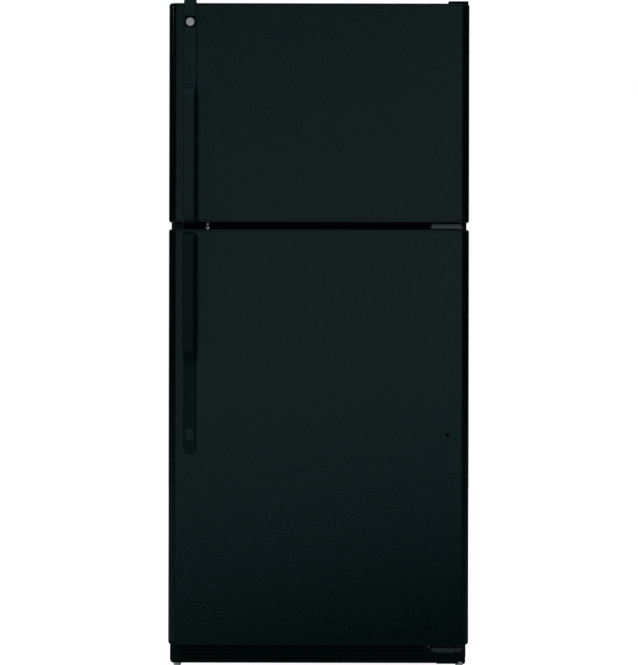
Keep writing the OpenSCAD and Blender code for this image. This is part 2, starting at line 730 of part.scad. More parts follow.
module condenser_coil() color(dark) on_front() {
    $fn = tube_fn;
    top = condenser_passes - 1;
    for (j = [0 : condenser_layers - 1]) {
        y = coil_y + j * coil_pitch_y;
        for (i = [0 : top])
            rod([coil_x0 - 1, y, coil_z + i * coil_pitch_z], "x", tube_d, coil_x1 - coil_x0 + 2);
        for (i = [0 : 1 : top - 1]) let (side = (i + j * top) % 2 == 0 ? 1 : -1)
            bend([side > 0 ? coil_x1 : coil_x0, y, coil_z + (i + 0.5) * coil_pitch_z], side,
                coil_pitch_z, true);
    }
    for (j = [0 : 1 : condenser_layers - 2]) let (end = (j * top) % 2 == top % 2 ? -1 : 1)
        bend([end > 0 ? coil_x1 : coil_x0, coil_y + (j + 0.5) * coil_pitch_y,
            coil_z + (j % 2 == 0 ? top : 0) * coil_pitch_z], end, coil_pitch_y, false);
    for (x = [coil_x0 + 12, coil_x1 - 12])
        block([x - drain_t / 2, coil_y - 12, drain_top],
            [x + drain_t / 2, coil_y + (condenser_layers - 1) * coil_pitch_y + 12,
                coil_z + top * coil_pitch_z + 8]);
}

// A fan with pitched blades, its hub and shaft along +Y from the origin
module fan(d, blades, shaft_l) {
    difference() {
        union() {
            translate([0, 0, 0]) rotate([-90, 0, 0]) cylinder(d = 30, h = 16);
            intersection() {
                rotate([-90, 0, 0]) cylinder(d = d, h = 16);
                for (a = [0 : 360 / blades : 359]) rotate([0, a, 0]) translate([0, 8, d / 4 + 4])
                    rotate([0, 0, 35]) cube([d * 0.34, 1.6, d / 2 - 6], center = true);
            }
        }
        rotate([-90, 0, 0]) translate([0, 0, 14]) cylinder(d = 24, h = 9);
    }
    rod([0, 0, 0], "y", 4, 16 + shaft_l);
}

fan_x = coil_x0 - 62;
fan_z = pan_z + pan_t + 76;

module condenser_fan() color(white) on_front() translate([fan_x, comp_y, fan_z])
    rotate([0, 0, 90]) fan(condenser_fan_d, 5, 9);

// The fan's shroud stands across the bay; its motor sits on the compressor's side
module condenser_fan_bracket() color(steel) on_front() {
    difference() {
        block([fan_x - 12, bay_y + 8, pan_z + pan_t],
            [fan_x - 10, case_d - 12, fan_z + condenser_fan_d / 2 + 12]);
        rod([fan_x - 13, comp_y, fan_z], "x", condenser_fan_d + 8, 9);
    }
    difference() {
        union() {
            rod([fan_x - 48, comp_y, fan_z], "x", 44, 30);
            for (a = [0, 90, 180, 270]) translate([fan_x - 22, comp_y, fan_z]) rotate([a, 0, 0])
                block([0, -5, 20], [3, 5, condenser_fan_d / 2 + 8]);
            for (a = [0, 90, 180, 270]) translate([fan_x - 22, comp_y, fan_z]) rotate([a, 0, 0])
                block([0, -5, condenser_fan_d / 2 + 5], [10.01, 5, condenser_fan_d / 2 + 8]);
        }
        rod([fan_x - 49, comp_y, fan_z], "x", 4.1, 40);
    }
}

module drain_pan() color(dark) on_front() difference() {
    block([drain_x0, bay_y + 6, pan_z + pan_t], [drain_x1, case_d - 14, drain_top]);
    block([drain_x0 + drain_t, bay_y + 6 + drain_t, pan_z + pan_t + drain_t],
        [drain_x1 - drain_t, case_d - 14 - drain_t, drain_top + 1]);
}

gland_x = case_w / 2 - 60;
gland_z = pan_z + 30;
gland_d = 9;
bay_cover_y = case_d - rear_t - case_t;

module bay_cover() color([0.35, 0.25, 0.17]) on_front() difference() {
    union() {
        block([-case_w / 2 + case_t + fit_gap, bay_cover_y - bay_cover_t, pan_z + pan_t + 0.5],
            [case_w / 2 - case_t - fit_gap, bay_cover_y, bay_top - 1]);
        rod([gland_x, bay_cover_y - 9, gland_z], "y", gland_d + 7, 10);
    }
    for (x = [-1, 1], i = [0 : floor((case_w / 2 - 90) / bay_slot_pitch) - 2])
        translate([x * (60 + i * bay_slot_pitch), bay_cover_y + 1, (pan_z + bay_top) / 2 + 12])
            rotate([90, 0, 0]) linear_extrude(9) round_rect(7, bay_h - 90, 3.4);
    rod([gland_x, bay_cover_y - 10, gland_z], "y", gland_d, 20);
}

// ---- Freezer interior ----
cover_y = rear_y - cover_room;
evap_top = freezer_roof - 20;
evap_low = freezer_floor + 12;
evap_fan_z = evap_top - 78;

module evaporator_coil() color(steel) on_front() {
    x0 = -freezer_w / 2 + 60;
    x1 = freezer_w / 2 - 60;
    rows = 4;
    pitch = 30;
    z0 = evap_low + 30;
    y = cover_y + 20;
    for (i = [0 : rows - 1], j = [0, 1]) rod([x0, y + j * 24, z0 + i * pitch], "x", tube_d + 2, x1 - x0);
    for (i = [0 : rows - 1]) translate([i % 2 == 0 ? x1 : x0, y + 12, z0 + i * pitch])
        rotate([0, 0, i % 2 == 0 ? -90 : 90]) rotate_extrude(angle = 180)
            translate([12, 0]) circle(d = tube_d + 2);
    for (i = [0 : 22]) let (x = x0 + 10 + i * (x1 - x0 - 20) / 22)
        block([x - 0.5, cover_y + 8, z0 - 14],
            [x + 0.5, rear_y - (i % 11 == 0 ? 0 : 5), z0 + (rows - 1) * pitch + 14]);
}

module evaporator_cover() color(white) on_front() {
    difference() {
        union() {
            bar_y(freezer_w - 2 * run_gap, freezer_floor + run_gap, freezer_roof - run_gap, liner_r,
                cover_y, cover_y + 2.5);
            translate([0, cover_y - 14, evap_fan_z + 6]) rotate([-90, 0, 0]) linear_extrude(16)
                round_rect(300, evap_fan_d + 20, 16);
        }
        translate([0, cover_y - 11.5, evap_fan_z + 6]) rotate([-90, 0, 0]) linear_extrude(20)
            round_rect(295, evap_fan_d + 15, 13.5);
        for (i = [0 : louvres - 1], x = [-1, 1])
            translate([x * 74, cover_y - 16, evap_fan_z + 40 - i * 13]) rotate([-90, 0, 0])
                linear_extrude(6) round_rect(112, 6, 2.9);
        for (i = [-7 : 7]) translate([i * 36, cover_y - 1, freezer_floor + 26]) rotate([-90, 0, 0])
            linear_extrude(5) round_rect(26, 8, 3.9);
    }
    for (i = [0 : louvres - 1], x = [-1, 1])
        translate([x * 74, cover_y - 11.5, evap_fan_z + 43.6 - i * 13]) rotate([35, 0, 0])
            block([-58, -1, -0.8], [58, 7, 0.8]);
    difference() {
        union() {
            rod([0, cover_y + 26, evap_fan_z], "y", 40, cover_room - 26);
            bar_y(110, evap_fan_z - 28, evap_fan_z + 28, 8, rear_y - 2, rear_y);
        }
        rod([0, cover_y, evap_fan_z], "y", 4.1, 48);
    }
}

module evaporator_fan() color(dark) on_front() translate([0, cover_y + 8, evap_fan_z]) fan(evap_fan_d, 4, 12);

// A welded shelf: a frame, cross wires on top of it and a drop front
module wire_shelf() color(white) on_front() {
    $fn = tube_fn;
    y0 = wire_y0;
    y1 = cover_y - 18;
    z = freezer_floor + wire_shelf_z + rail_d / 2;
    x1 = freezer_w / 2 - ledge_w / 2;
    drop = 22;
    for (x = [-1, 1]) rod([x * x1, y0 - rail_d, z], "y", rail_d, y1 - y0 + 2 * rail_d);
    for (y = [y0, (y0 + y1) / 2, y1]) rod([-x1, y, z], "x", rail_d - 1, 2 * x1);
    rod([-x1 - 1, y0, z - drop], "x", rail_d - 1, 2 * x1 + 2);
    for (x = [-1, 1]) rod([x * x1, y0, z - drop], "z", rail_d - 2, drop);
    for (i = [1 : wires]) let (x = -x1 + i * 2 * x1 / (wires + 1)) {
        rod([x, y0 - 2, z + rail_d / 2], "y", wire_d, y1 - y0 + 4);
        rod([x, y0, z - drop], "z", wire_d, drop);
    }
}

// ---- Fresh food interior ----
shelf_w = fresh_w - 2 * fit_gap;
shelf_back = rear_y - 14;

// A moulded ring with a rebate for its glass, standing on z
module frame_ring(z, y0, y1) {
    mid = (y0 + y1) / 2;
    translate([0, mid, z]) difference() {
        linear_extrude(shelf_frame_h) round_rect(shelf_w, y1 - y0, 10);
        translate([0, 0, -1]) linear_extrude(shelf_frame_h + 2)
            round_rect(shelf_w - 2 * shelf_rim_w, y1 - y0 - 2 * shelf_rim_w, 6);
        translate([0, 0, shelf_frame_h - glass_t]) linear_extrude(glass_t + 1)
            round_rect(shelf_w - shelf_rim_w, y1 - y0 - shelf_rim_w, 8);
    }
}

module pane(z, y0, y1) translate([0, (y0 + y1) / 2, z + shelf_frame_h - glass_t]) linear_extrude(glass_t)
    round_rect(shelf_w - shelf_rim_w - 1, y1 - y0 - shelf_rim_w - 1, 7.5);

module shelf_frames() color(white) on_front() for (z = shelf_z) frame_ring(z, shelf_front, shelf_back);

module shelf_glass() color(clear) on_front() {
    for (z = shelf_z) pane(z, shelf_front, shelf_back);
    pane(crisper_top, crisper_front - 4, shelf_back);
}

// Crispers hang by their rims from ledges on the walls and a rail under the crisper frame
crisper_z = fresh_floor + 12;
rim_t = 3;
runner_w = rim_w + 3;
runner_z = crisper_z + crisper_h - rim_t - run_gap;
crisper_out = fresh_w / 2 - runner_w - fit_gap;
crisper_in = runner_w + fit_gap;
crisper_back = step_y - 14;

module crisper_frame() color(white) on_front() {
    frame_ring(crisper_top, crisper_front - 4, shelf_back);
    block([-2, crisper_front + 6, runner_z - 3], [2, step_y - 4, crisper_top + 0.01]);
    block([-runner_w, crisper_front + 6, runner_z - 3], [runner_w, step_y - 4, runner_z]);
    block([-10, crisper_front - 3, crisper_top],
        [10, shelf_back - 3, crisper_top + shelf_frame_h - glass_t - 0.5]);
}

module crisper(side) {
    w = crisper_out - crisper_in;
    mid = side * (crisper_out + crisper_in) / 2;
    l = crisper_back - crisper_front;
    color(clear) on_front() difference() {
        union() {
            translate([mid, crisper_front + l / 2, crisper_z]) linear_extrude(crisper_h) round_rect(w, l, 12);
            translate([mid, crisper_front + l / 2 + 4, crisper_z + crisper_h - rim_t])
                linear_extrude(rim_t) round_rect(w + 2 * rim_w, l - 10, 6);
            translate([mid, crisper_front + 5, crisper_z + crisper_h / 2 + 3]) rotate([90, 0, 0])
                linear_extrude(5) round_rect(w + 2 * rim_w - 2, crisper_h + 6, 8);
            translate([mid, crisper_front, crisper_z + crisper_h - 8]) rotate([0, 90, 0])
                cylinder(d = 13, h = w * 0.6, center = true);
        }
        translate([mid, crisper_front + l / 2 + 1, crisper_z + crisper_t]) linear_extrude(crisper_h + 9)
            round_rect(w - 2 * crisper_t, l - 2 * crisper_t - 2, 10);
        translate([mid, crisper_front + 2, crisper_z + crisper_h - 16]) rotate([0, 90, 0])
            cylinder(d = 11, h = w * 0.6 - 6, center = true);
    }
}

// ---- Lamp, switch and controls ----
control_y = 210;
control_z = fresh_roof - control_h;
lamp_split = control_d * 0.5;
knob_x = control_w / 2 - 62;
knob_z = fresh_roof - control_h / 2;
knob_l = 13;
shaft_d = 6;

module control_housing() color(white) on_front() difference() {
    block([-control_w / 2, control_y, control_z], [control_w / 2, control_y + lamp_split, fresh_roof]);
    block([-control_w / 2 + 2.5, control_y + 2.5, control_z + 2.5],
        [control_w / 2 - 2.5, control_y + lamp_split - 2.5, fresh_roof + 1]);
    for (x = [-1, 1]) rod([x * knob_x, control_y - 1, knob_z], "y", shaft_d + 0.1, 5);
    rod([0, control_y + lamp_split - 4, knob_z], "y", 24.4, 6);
}

module light_shield() color([0.95, 0.95, 0.9, 0.6]) on_front() difference() {
    block([-control_w / 2, control_y + lamp_split, control_z],
        [control_w / 2, control_y + control_d, fresh_roof]);
    block([-control_w / 2 + 2, control_y + lamp_split - 1, control_z + 2],
        [control_w / 2 - 2, control_y + control_d - 2, fresh_roof + 1]);
    for (i = [-8 : 8]) block([i * 16 - 2, control_y + lamp_split + 20, control_z - 1],
        [i * 16 + 2, control_y + control_d - 16, control_z + 3]);
}

module light_bulb() color([1, 0.95, 0.8]) on_front() translate([0, control_y + lamp_split - 2.5, knob_z])
    rotate([-90, 0, 0]) rotate_extrude() polygon([
        [0, -18], [12, -18], [12, 12], [9, 15], [13, 28], [17, 42], [16, 54], [10, 63], [0, 66]]);

module knob(side) color(white) on_front()
    translate([side * knob_x, control_y - run_gap, knob_z]) rotate([90, 0, 0]) {
    difference() {
        union() {
            cylinder(d = knob_d, h = 4);
            translate([0, 0, 3.99]) cylinder(d1 = knob_d - 4, d2 = knob_d - 8, h = 3);
            translate([-4, -knob_d / 2 + 2, 2]) cube([8, knob_d - 4, knob_l - 2]);
        }
        translate([-0.8, knob_d / 2 - 9, knob_l - 1]) cube([1.6, 8, 2]);
    }
    translate([0, 0, -10]) cylinder(d = shaft_d, h = 11);
}

switch_d = 5;
switch_l = 32;
switch_x = -case_w / 2 + lip_w + 6.5;
switch_z = fresh_roof - 60;

module light_switch() color(white) on_front() {
    rod([switch_x, door_back + run_gap, switch_z], "y", switch_d, switch_l + gasket_t - 12);
    rod([switch_x, liner_t + 0.5, switch_z], "y", switch_d + 2 * fit_gap - 0.2, 3);
}

// ---- Doors ----

// A door's section seen from above: long front edges rounded, rear edges square
module door_section(g) {
    w = door_w - 2 * g;
    r = door_r - g;
    translate([-w / 2, door_front + g + r]) square([w, door_t - 2 * g - r]);
    translate([-w / 2 + r, door_front + g]) square([w - 2 * r, door_t - 2 * g]);
    for (x = [-1, 1]) translate([x * (w / 2 - r), door_front + g + r]) circle(r);
}

module door_skin(z, h) color(black) on_front() translate([0, 0, z + cap_t]) difference() {
    linear_extrude(h - 2 * cap_t) door_section(0);
    translate([0, 0, -1]) linear_extrude(h) door_section(skin_t);
    block([-door_w / 2 + skin_lip_w, door_back - 5, -1], [door_w / 2 - skin_lip_w, door_back + 1, h]);
}

// Both end caps, with the corners rounded as seen from the front and holes for the bushings
module door_caps(z, h) color(black) on_front() difference() {
    intersection() {
        union() for (low = [z, z + h - cap_t]) translate([0, 0, low]) linear_extrude(cap_t) door_section(0);
        bar_y(door_w, z, z + h, corner_r - 0.01, door_front - 1, 1);
    }
    bush_holes(z, h);
}

module bush_holes(z, h) for (low = [z - 1, z + h - bush_l])
    translate([pin_x, pin_y, low]) cylinder(d = bush_d + 0.2, h = bush_l + 1);

// The foam fills the skin between the caps and the dyke of the liner
module door_foam(z, h, w, z0, z1) color([0.93, 0.88, 0.7]) on_front() difference() {
    union() {
        translate([0, 0, z + cap_t]) linear_extrude(h - 2 * cap_t) intersection() {
            door_section(skin_t);
            translate([-door_w, door_front]) square([2 * door_w, door_t - liner_t]);
        }
        dyke(w, z0, z1, liner_t + hole_play);
    }
    bush_holes(z, h);
}

// The hollow frame that stands out of a door's liner into the compartment, shrunk by g
module dyke(w, z0, z1, g, y0 = door_back - liner_t - 0.01) {
    y1 = door_back + dyke_out - g;
    low = z0 + dyke_room + g;
    high = z1 - dyke_room - g;
    span = w - 2 * dyke_room - 2 * g;
    inset = dyke_w - 2 * g;
    difference() {
        bar_y(span, low, high, 16 - g, y0, y1);
        bar_y(span - 2 * inset, low + inset, high - inset, 6 + g, y0 - 1, y1 + 1);
    }
}

module liner_of_door(z, h, w, z0, z1) color(white) on_front() difference() {
    union() {
        block([-door_w / 2 + skin_lip_w, door_back - liner_t, z + cap_t],
            [door_w / 2 - skin_lip_w, door_back, z + h - cap_t]);
        dyke(w, z0, z1, 0, door_back - 0.01);
    }
    dyke(w, z0, z1, liner_t);
}

module gasket(z, h) color([0.2, 0.2, 0.2]) on_front() {
    w = door_w - 2 * gasket_side;
    low = z + gasket_end;
    high = z + h - gasket_end;
    side = (gasket_w - gasket_tube_w) / 2;
    difference() {
        bar_y(w, low, high, 6, door_back, door_back + gasket_base_t);
        bar_y(w - 2 * gasket_w, low + gasket_w, high - gasket_w, 3, door_back - 1, 0);
    }
    difference() {
        bar_y(w - 2 * side, low + side, high - side, 4, door_back + gasket_base_t - 0.01, -run_gap);
        bar_y(w - 2 * gasket_w + 2 * side, low + gasket_w - side, high - gasket_w + side, 3,
            door_back - 1, 1);
    }
}

module bushings(z, low_reach, high_reach, h) color(white) on_front() translate([pin_x, pin_y, 0]) {
    difference() {
        union() {
            translate([0, 0, z - low_reach]) cylinder(d = bush_d - 2, h = low_reach);
            translate([0, 0, z - 0.01]) cylinder(d = bush_d, h = bush_l - 1);
        }
        translate([0, 0, z - low_reach - 1]) cylinder(d = pin_d + 2 * pin_play, h = low_reach + pin_in + 2);
    }
    difference() {
        union() {
            translate([0, 0, z + h - bush_l + 1]) cylinder(d = bush_d, h = bush_l - 1);
            translate([0, 0, z + h - 0.01]) cylinder(d = bush_d - 2, h = high_reach);
        }
        translate([0, 0, z + h - pin_in - 1]) cylinder(d = pin_d + 2 * pin_play, h = high_reach + pin_in + 2);
    }
}

// A shelf bin with rounded corners, seated against the door liner between x0 and x1
module bin(x0, x1, z, h, back) difference() {
    l = back - door_back;
    mid = (x0 + x1) / 2;
    translate([mid, door_back + l / 2, z]) linear_extrude(h) round_rect(x1 - x0, l, 14);
    translate([mid, door_back + l / 2, z + bin_t]) linear_extrude(h)
        round_rect(x1 - x0 - 2 * bin_t, l - 2 * bin_t, 12);
}

// ---- Handles ----

// Half the thickness and the stand-off of a handle's middle line, u along it from the pad's end
function ease(t) = let (s = min(1, max(0, t))) s * s * (3 - 2 * s);
function mid_out(u, pad) = pad_out / 2 + (handle_out - grip_t / 2 - pad_out / 2) * ease((u - pad) / saddle_l);
function half_t(u, pad) = pad_out / 2 + (grip_t - pad_out) / 2 * ease((u - pad) / saddle_l);

// One ring round the handle: centre [out, u], turned by a, half width and half thickness
function ring(c, a, hw, ht, r) = [for (q = [0 : 3], k = [0 : 3])
    let (t = q * 90 + k * 30, cx = (q == 0 || q == 3 ? 1 : -1) * (hw - r) + r * cos(t),
        cy = (q < 2 ? 1 : -1) * (ht - r) + r * sin(t))
    [cx, -c[0] - cy * cos(a), c[1] + cy * sin(a)]];

// The handle along +Z: a flat pad on the door, a saddle, a grip and a leg back to the door
module grip_handle(l, pad, rake, round_end) {
    bend_r = grip_bend_r - grip_t / 2;
    top = l - grip_t / 2;
    out = handle_out - grip_t / 2;
    hw = handle_w / 2;
    pad_u = round_end ? [for (k = [1 : 5]) hw * (1 - cos(k * 18))] : [0];
    rings = concat(
        [for (u = pad_u) ring([pad_out / 2, u], 0,
            round_end ? max(2.2, sqrt(max(0, hw * hw - (hw - u) * (hw - u)))) : hw, pad_out / 2, 2)],
        [for (i = [0 : 8]) let (u = pad + saddle_l * i / 8) ring([mid_out(u, pad), u], 0, hw,
            half_t(u, pad), 2 + 2 * ease(i / 8))],
        [for (i = [0 : 6]) let (a = 90 * i / 6)
            ring([out - bend_r + bend_r * cos(a), top - bend_r + bend_r * sin(a)], a, hw, grip_t / 2, 4)],
        [ring([0, top - rake], 90, hw, grip_t / 2, 4)]);
    n = 16;
    last = len(rings) - 1;
    polyhedron([for (r = rings, p = r) p], concat(
        [[for (k = [0 : n - 1]) k]],
        [for (i = [0 : last - 1], k = [0 : n - 1]) let (m = (k + 1) % n)
            each [[i * n + k, (i + 1) * n + k, (i + 1) * n + m], [i * n + k, (i + 1) * n + m, i * n + m]]],
        [[for (k = [n - 1 : -1 : 0]) last * n + k]]));
}

module at_handle(z) translate([handle_x, door_front, z]) children();

module freezer_door_handle() color(black) on_front() at_handle(door_top + freezer_handle_rise)
    rotate([0, 180, 0]) grip_handle(freezer_handle_rise + freezer_door_h + freezer_handle_drop,
        freezer_pad_l, freezer_leg_rake, false);

fresh_handle_z = fresh_top - fresh_handle_drop - fresh_handle_l;

module fresh_door_handle() color(black) on_front() at_handle(fresh_handle_z)
    grip_handle(fresh_handle_l, fresh_pad_l, 0, true);

module handle_badge() color([0.3, 0.36, 0.38]) on_front() at_handle(door_top - badge_drop)
    translate([0, -pad_out, 0])
    rotate([90, 0, 0]) cylinder(d = badge_d, h = 1.4);

screw_z = fresh_handle_z + screw_up;

module screw_cap_and_plug() color(black) on_front() {
    at_handle(screw_z) translate([0, -pad_out, 0]) rotate([90, 0, 0]) linear_extrude(1.2)
        round_rect(screw_cap[0], screw_cap[1], 1.5);
    translate([-handle_x, door_front, screw_z]) rotate([90, 0, 0])
        cylinder(d1 = plug_d, d2 = plug_d - 2, h = 1.5);
}

// ---- The two doors' pieces ----
freezer_bin_w = freezer_w - 2 * dyke_room - 2 * dyke_w - 2;
fresh_bin_w = fresh_w - 2 * dyke_room - 2 * dyke_w - 2;
freezer_dyke_low = freezer_floor + dyke_room + dyke_w;
freezer_dyke_h = freezer_roof - dyke_room - dyke_w - freezer_dyke_low;
fresh_dyke_low = fresh_floor + dyke_room + dyke_w;
dairy_top = fresh_roof - dyke_room - dyke_w - 3;
dairy_z = dairy_top - dairy_h;
dairy_x0 = 14;
dairy_x1 = fresh_bin_w / 2;
lid_pin_y = bin_back - 9;
lid_pin_z = dairy_top - 9;
lid_pin_d = 4;

module freezer_door_bins() color(clear) on_front() for (z = [0, 0.52])
    bin(-freezer_bin_w / 2, freezer_bin_w / 2, freezer_dyke_low + bin_rise + z * freezer_dyke_h, bin_h,
        bin_back - freezer_bin_set);

module fresh_door_bins() color(clear) on_front() {
    pitch = (dairy_z - fresh_dyke_low) / 3;
    for (i = [0 : 2]) bin(-fresh_bin_w / 2, fresh_bin_w / 2, fresh_dyke_low + bin_rise + i * pitch,
        i == 0 ? bin_h * 1.4 : bin_h, bin_back);
    bin(-fresh_bin_w / 2, dairy_x0 - 6, dairy_z, bin_h * 0.8, bin_back);
    difference() {
        block([dairy_x0, door_back, dairy_z], [dairy_x1, bin_back - 1, dairy_top]);
        block([dairy_x0 + bin_t, door_back - 1, dairy_z + bin_t],
            [dairy_x1 - bin_t, bin_back, dairy_top - bin_t]);
        block([dairy_x0 + bin_t, bin_back - 24, dairy_z + bin_t],
            [dairy_x1 - bin_t, bin_back, dairy_top + 1]);
        rod([dairy_x0 - 1, lid_pin_y, lid_pin_z], "x", lid_pin_d + 0.1, dairy_x1 - dairy_x0 + 2);
    }
}

module dairy_lid() color(clear) on_front() {
    x0 = dairy_x0 + bin_t + 0.6;
    x1 = dairy_x1 - bin_t - 0.6;
    block([x0, bin_back - 1 - lid_t, dairy_z + bin_t + 1.5], [x1, bin_back - 1, lid_pin_z]);
    difference() {
        union() {
            rod([x0, lid_pin_y, lid_pin_z], "x", 10, x1 - x0);
            block([x0, lid_pin_y, lid_pin_z - 5], [x1, bin_back - 1, lid_pin_z]);
        }
        block([x0 + 6, lid_pin_y - 9, lid_pin_z - 9], [x1 - 6, bin_back - 1 - lid_t, lid_pin_z + 9]);
    }
    rod([x0 - 2.6, lid_pin_y, lid_pin_z], "x", lid_pin_d, 4);
    rod([x1 - 1.4, lid_pin_y, lid_pin_z], "x", lid_pin_d, 4);
    rod([(x0 + x1) / 2 - 30, bin_back - 1, dairy_z + 12], "x", 5, 60);
}

outer_case();
rear_panel();
base_pan();
insulation();
freezer_liner();
fresh_food_liner();
mullion_rail();
top_hinge();
top_hinge_cover();
center_hinge();
bottom_hinge();
hinge_washers();
screws();
base_grille();
foot_brackets();
compressor();
compressor_mounts();
condenser_coil();
condenser_fan_bracket();
drain_pan();
bay_cover();
evaporator_coil();
evaporator_cover();
wire_shelf();
shelf_frames();
shelf_glass();
crisper_frame();
control_housing();
light_bulb();
light_shield();
door_skin(freezer_z, freezer_door_h);  // freezer_door_skin
door_caps(freezer_z, freezer_door_h);  // freezer_door_caps
door_foam(freezer_z, freezer_door_h, freezer_w, freezer_floor, freezer_roof);  // freezer_door_foam
liner_of_door(freezer_z, freezer_door_h, freezer_w, freezer_floor, freezer_roof);  // freezer_door_liner
gasket(freezer_z, freezer_door_h);  // freezer_door_gasket
freezer_door_handle();
handle_badge();
freezer_door_bins();
bushings(freezer_z, freezer_z - washer_top - run_gap, 1, freezer_door_h);  // freezer_door_bushings
door_skin(base_h, fresh_door_h);  // fresh_door_skin
door_caps(base_h, fresh_door_h);  // fresh_door_caps
door_foam(base_h, fresh_door_h, fresh_w, fresh_floor, fresh_roof);  // fresh_door_foam
liner_of_door(base_h, fresh_door_h, fresh_w, fresh_floor, fresh_roof);  // fresh_door_liner
gasket(base_h, fresh_door_h);  // fresh_door_gasket
fresh_door_handle();
screw_cap_and_plug();
fresh_door_bins();
bushings(base_h, base_h - base_arm_z - hinge_t - washer_t - run_gap, 3.5, fresh_door_h);  // fresh_door_bushings
dairy_lid();
crisper(-1);  // crisper_left
crisper(1);  // crisper_right
knob(-1);  // knob_left
knob(1);  // knob_right
light_switch();
leg(-1);  // leg_left
leg(1);  // leg_right
roller(-1);  // roller_left
roller(1);  // roller_right
evaporator_fan();
condenser_fan();
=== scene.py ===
import math

import bmesh
import bpy
from mathutils import Matrix, Vector


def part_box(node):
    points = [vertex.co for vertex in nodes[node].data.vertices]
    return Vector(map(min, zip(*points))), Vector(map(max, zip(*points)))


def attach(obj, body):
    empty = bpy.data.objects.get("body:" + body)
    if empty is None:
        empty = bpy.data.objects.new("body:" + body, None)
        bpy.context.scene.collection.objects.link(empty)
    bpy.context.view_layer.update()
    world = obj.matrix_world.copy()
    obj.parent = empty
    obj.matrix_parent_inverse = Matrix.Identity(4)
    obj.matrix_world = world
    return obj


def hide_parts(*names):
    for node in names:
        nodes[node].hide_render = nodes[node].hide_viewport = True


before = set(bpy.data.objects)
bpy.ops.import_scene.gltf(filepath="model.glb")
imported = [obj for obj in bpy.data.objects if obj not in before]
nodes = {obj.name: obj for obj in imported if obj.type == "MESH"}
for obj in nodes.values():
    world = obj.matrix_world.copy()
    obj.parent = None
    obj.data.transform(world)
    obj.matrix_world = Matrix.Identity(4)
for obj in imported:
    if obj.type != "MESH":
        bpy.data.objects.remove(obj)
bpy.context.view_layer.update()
scene = bpy.context.scene

# ---- The view ----
# The refrigerator stands square to a level camera, which is half way up and turned a
# hair about its own axis.
camera_distance = 3.6
camera_height = 0.853
camera_side = 0.0005
camera_lens = 77.79
camera_roll = math.radians(-0.12)

door_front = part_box("freezer_door_skin")[0].y
camera_data = bpy.data.cameras.new("camera")
camera_data.lens = camera_lens
camera_data.sensor_width = 36
camera = bpy.data.objects.new("camera", camera_data)
camera.location = (camera_side, door_front - camera_distance, camera_height)
camera.rotation_euler = (math.radians(90), camera_roll, 0)
scene.collection.objects.link(camera)
scene.camera = camera

# ---- The studio ----
# A white surround and floor, soft lamps high at the sides, and a dim room that the black
# enamel mirrors: pale straight ahead, fading downwards, and dark at both sides.
floor_half = 4.0
floor_front = 1.1
shade_inset = 0.01
shade_back = 0.04
floor_grey = 0.42
floor_glow_strength = 0.92
room_strength = 0.55
pane_strength = 0.29
pane_slant = -0.22
side_dark = (0.015, 0.02, 0.02)

scene.view_settings.view_transform = "Standard"


def node_of(tree, kind, **values):
    """Adds a shader node and sets its properties and sockets by name."""
    made = tree.nodes.new(kind)
    for key, value in values.items():
        if hasattr(made, key):
            setattr(made, key, value)
        else:
            made.inputs[key.replace("_", " ")].default_value = value
    return made


def seen_directly(tree):
    """One where a ray comes straight from the camera or through something clear."""
    path = node_of(tree, "ShaderNodeLightPath")
    largest = node_of(tree, "ShaderNodeMath", operation="MAXIMUM")
    tree.links.new(path.outputs["Is Camera Ray"], largest.inputs[0])
    tree.links.new(path.outputs["Is Transmission Ray"], largest.inputs[1])
    return path, largest.outputs[0]


def colour_along(tree, component, stops):
    """Colour by one component of a direction, through stops of (component, colour)."""
    spread = node_of(tree, "ShaderNodeMapRange", From_Min=-1.0, From_Max=1.0)
    tree.links.new(component, spread.inputs["Value"])
    ramp = node_of(tree, "ShaderNodeValToRGB")
    marks = ramp.color_ramp.elements
    while len(marks) < len(stops):
        marks.new(0.5)
    for mark, (place, colour) in zip(marks, stops):
        mark.position = (place + 1) / 2
    for mark, (place, colour) in zip(marks, stops):
        mark.color = (*colour, 1)
    tree.links.new(spread.outputs[0], ramp.inputs["Fac"])
    return ramp.outputs["Color"]


def blended(tree, way, first, second):
    """Two colours mixed fully in the given way."""
    both = node_of(tree, "ShaderNodeMix", data_type="RGBA", blend_type=way)
    both.inputs[0].default_value = 1
    tree.links.new(first, both.inputs[6])
    tree.links.new(second, both.inputs[7])
    return both.outputs[2]


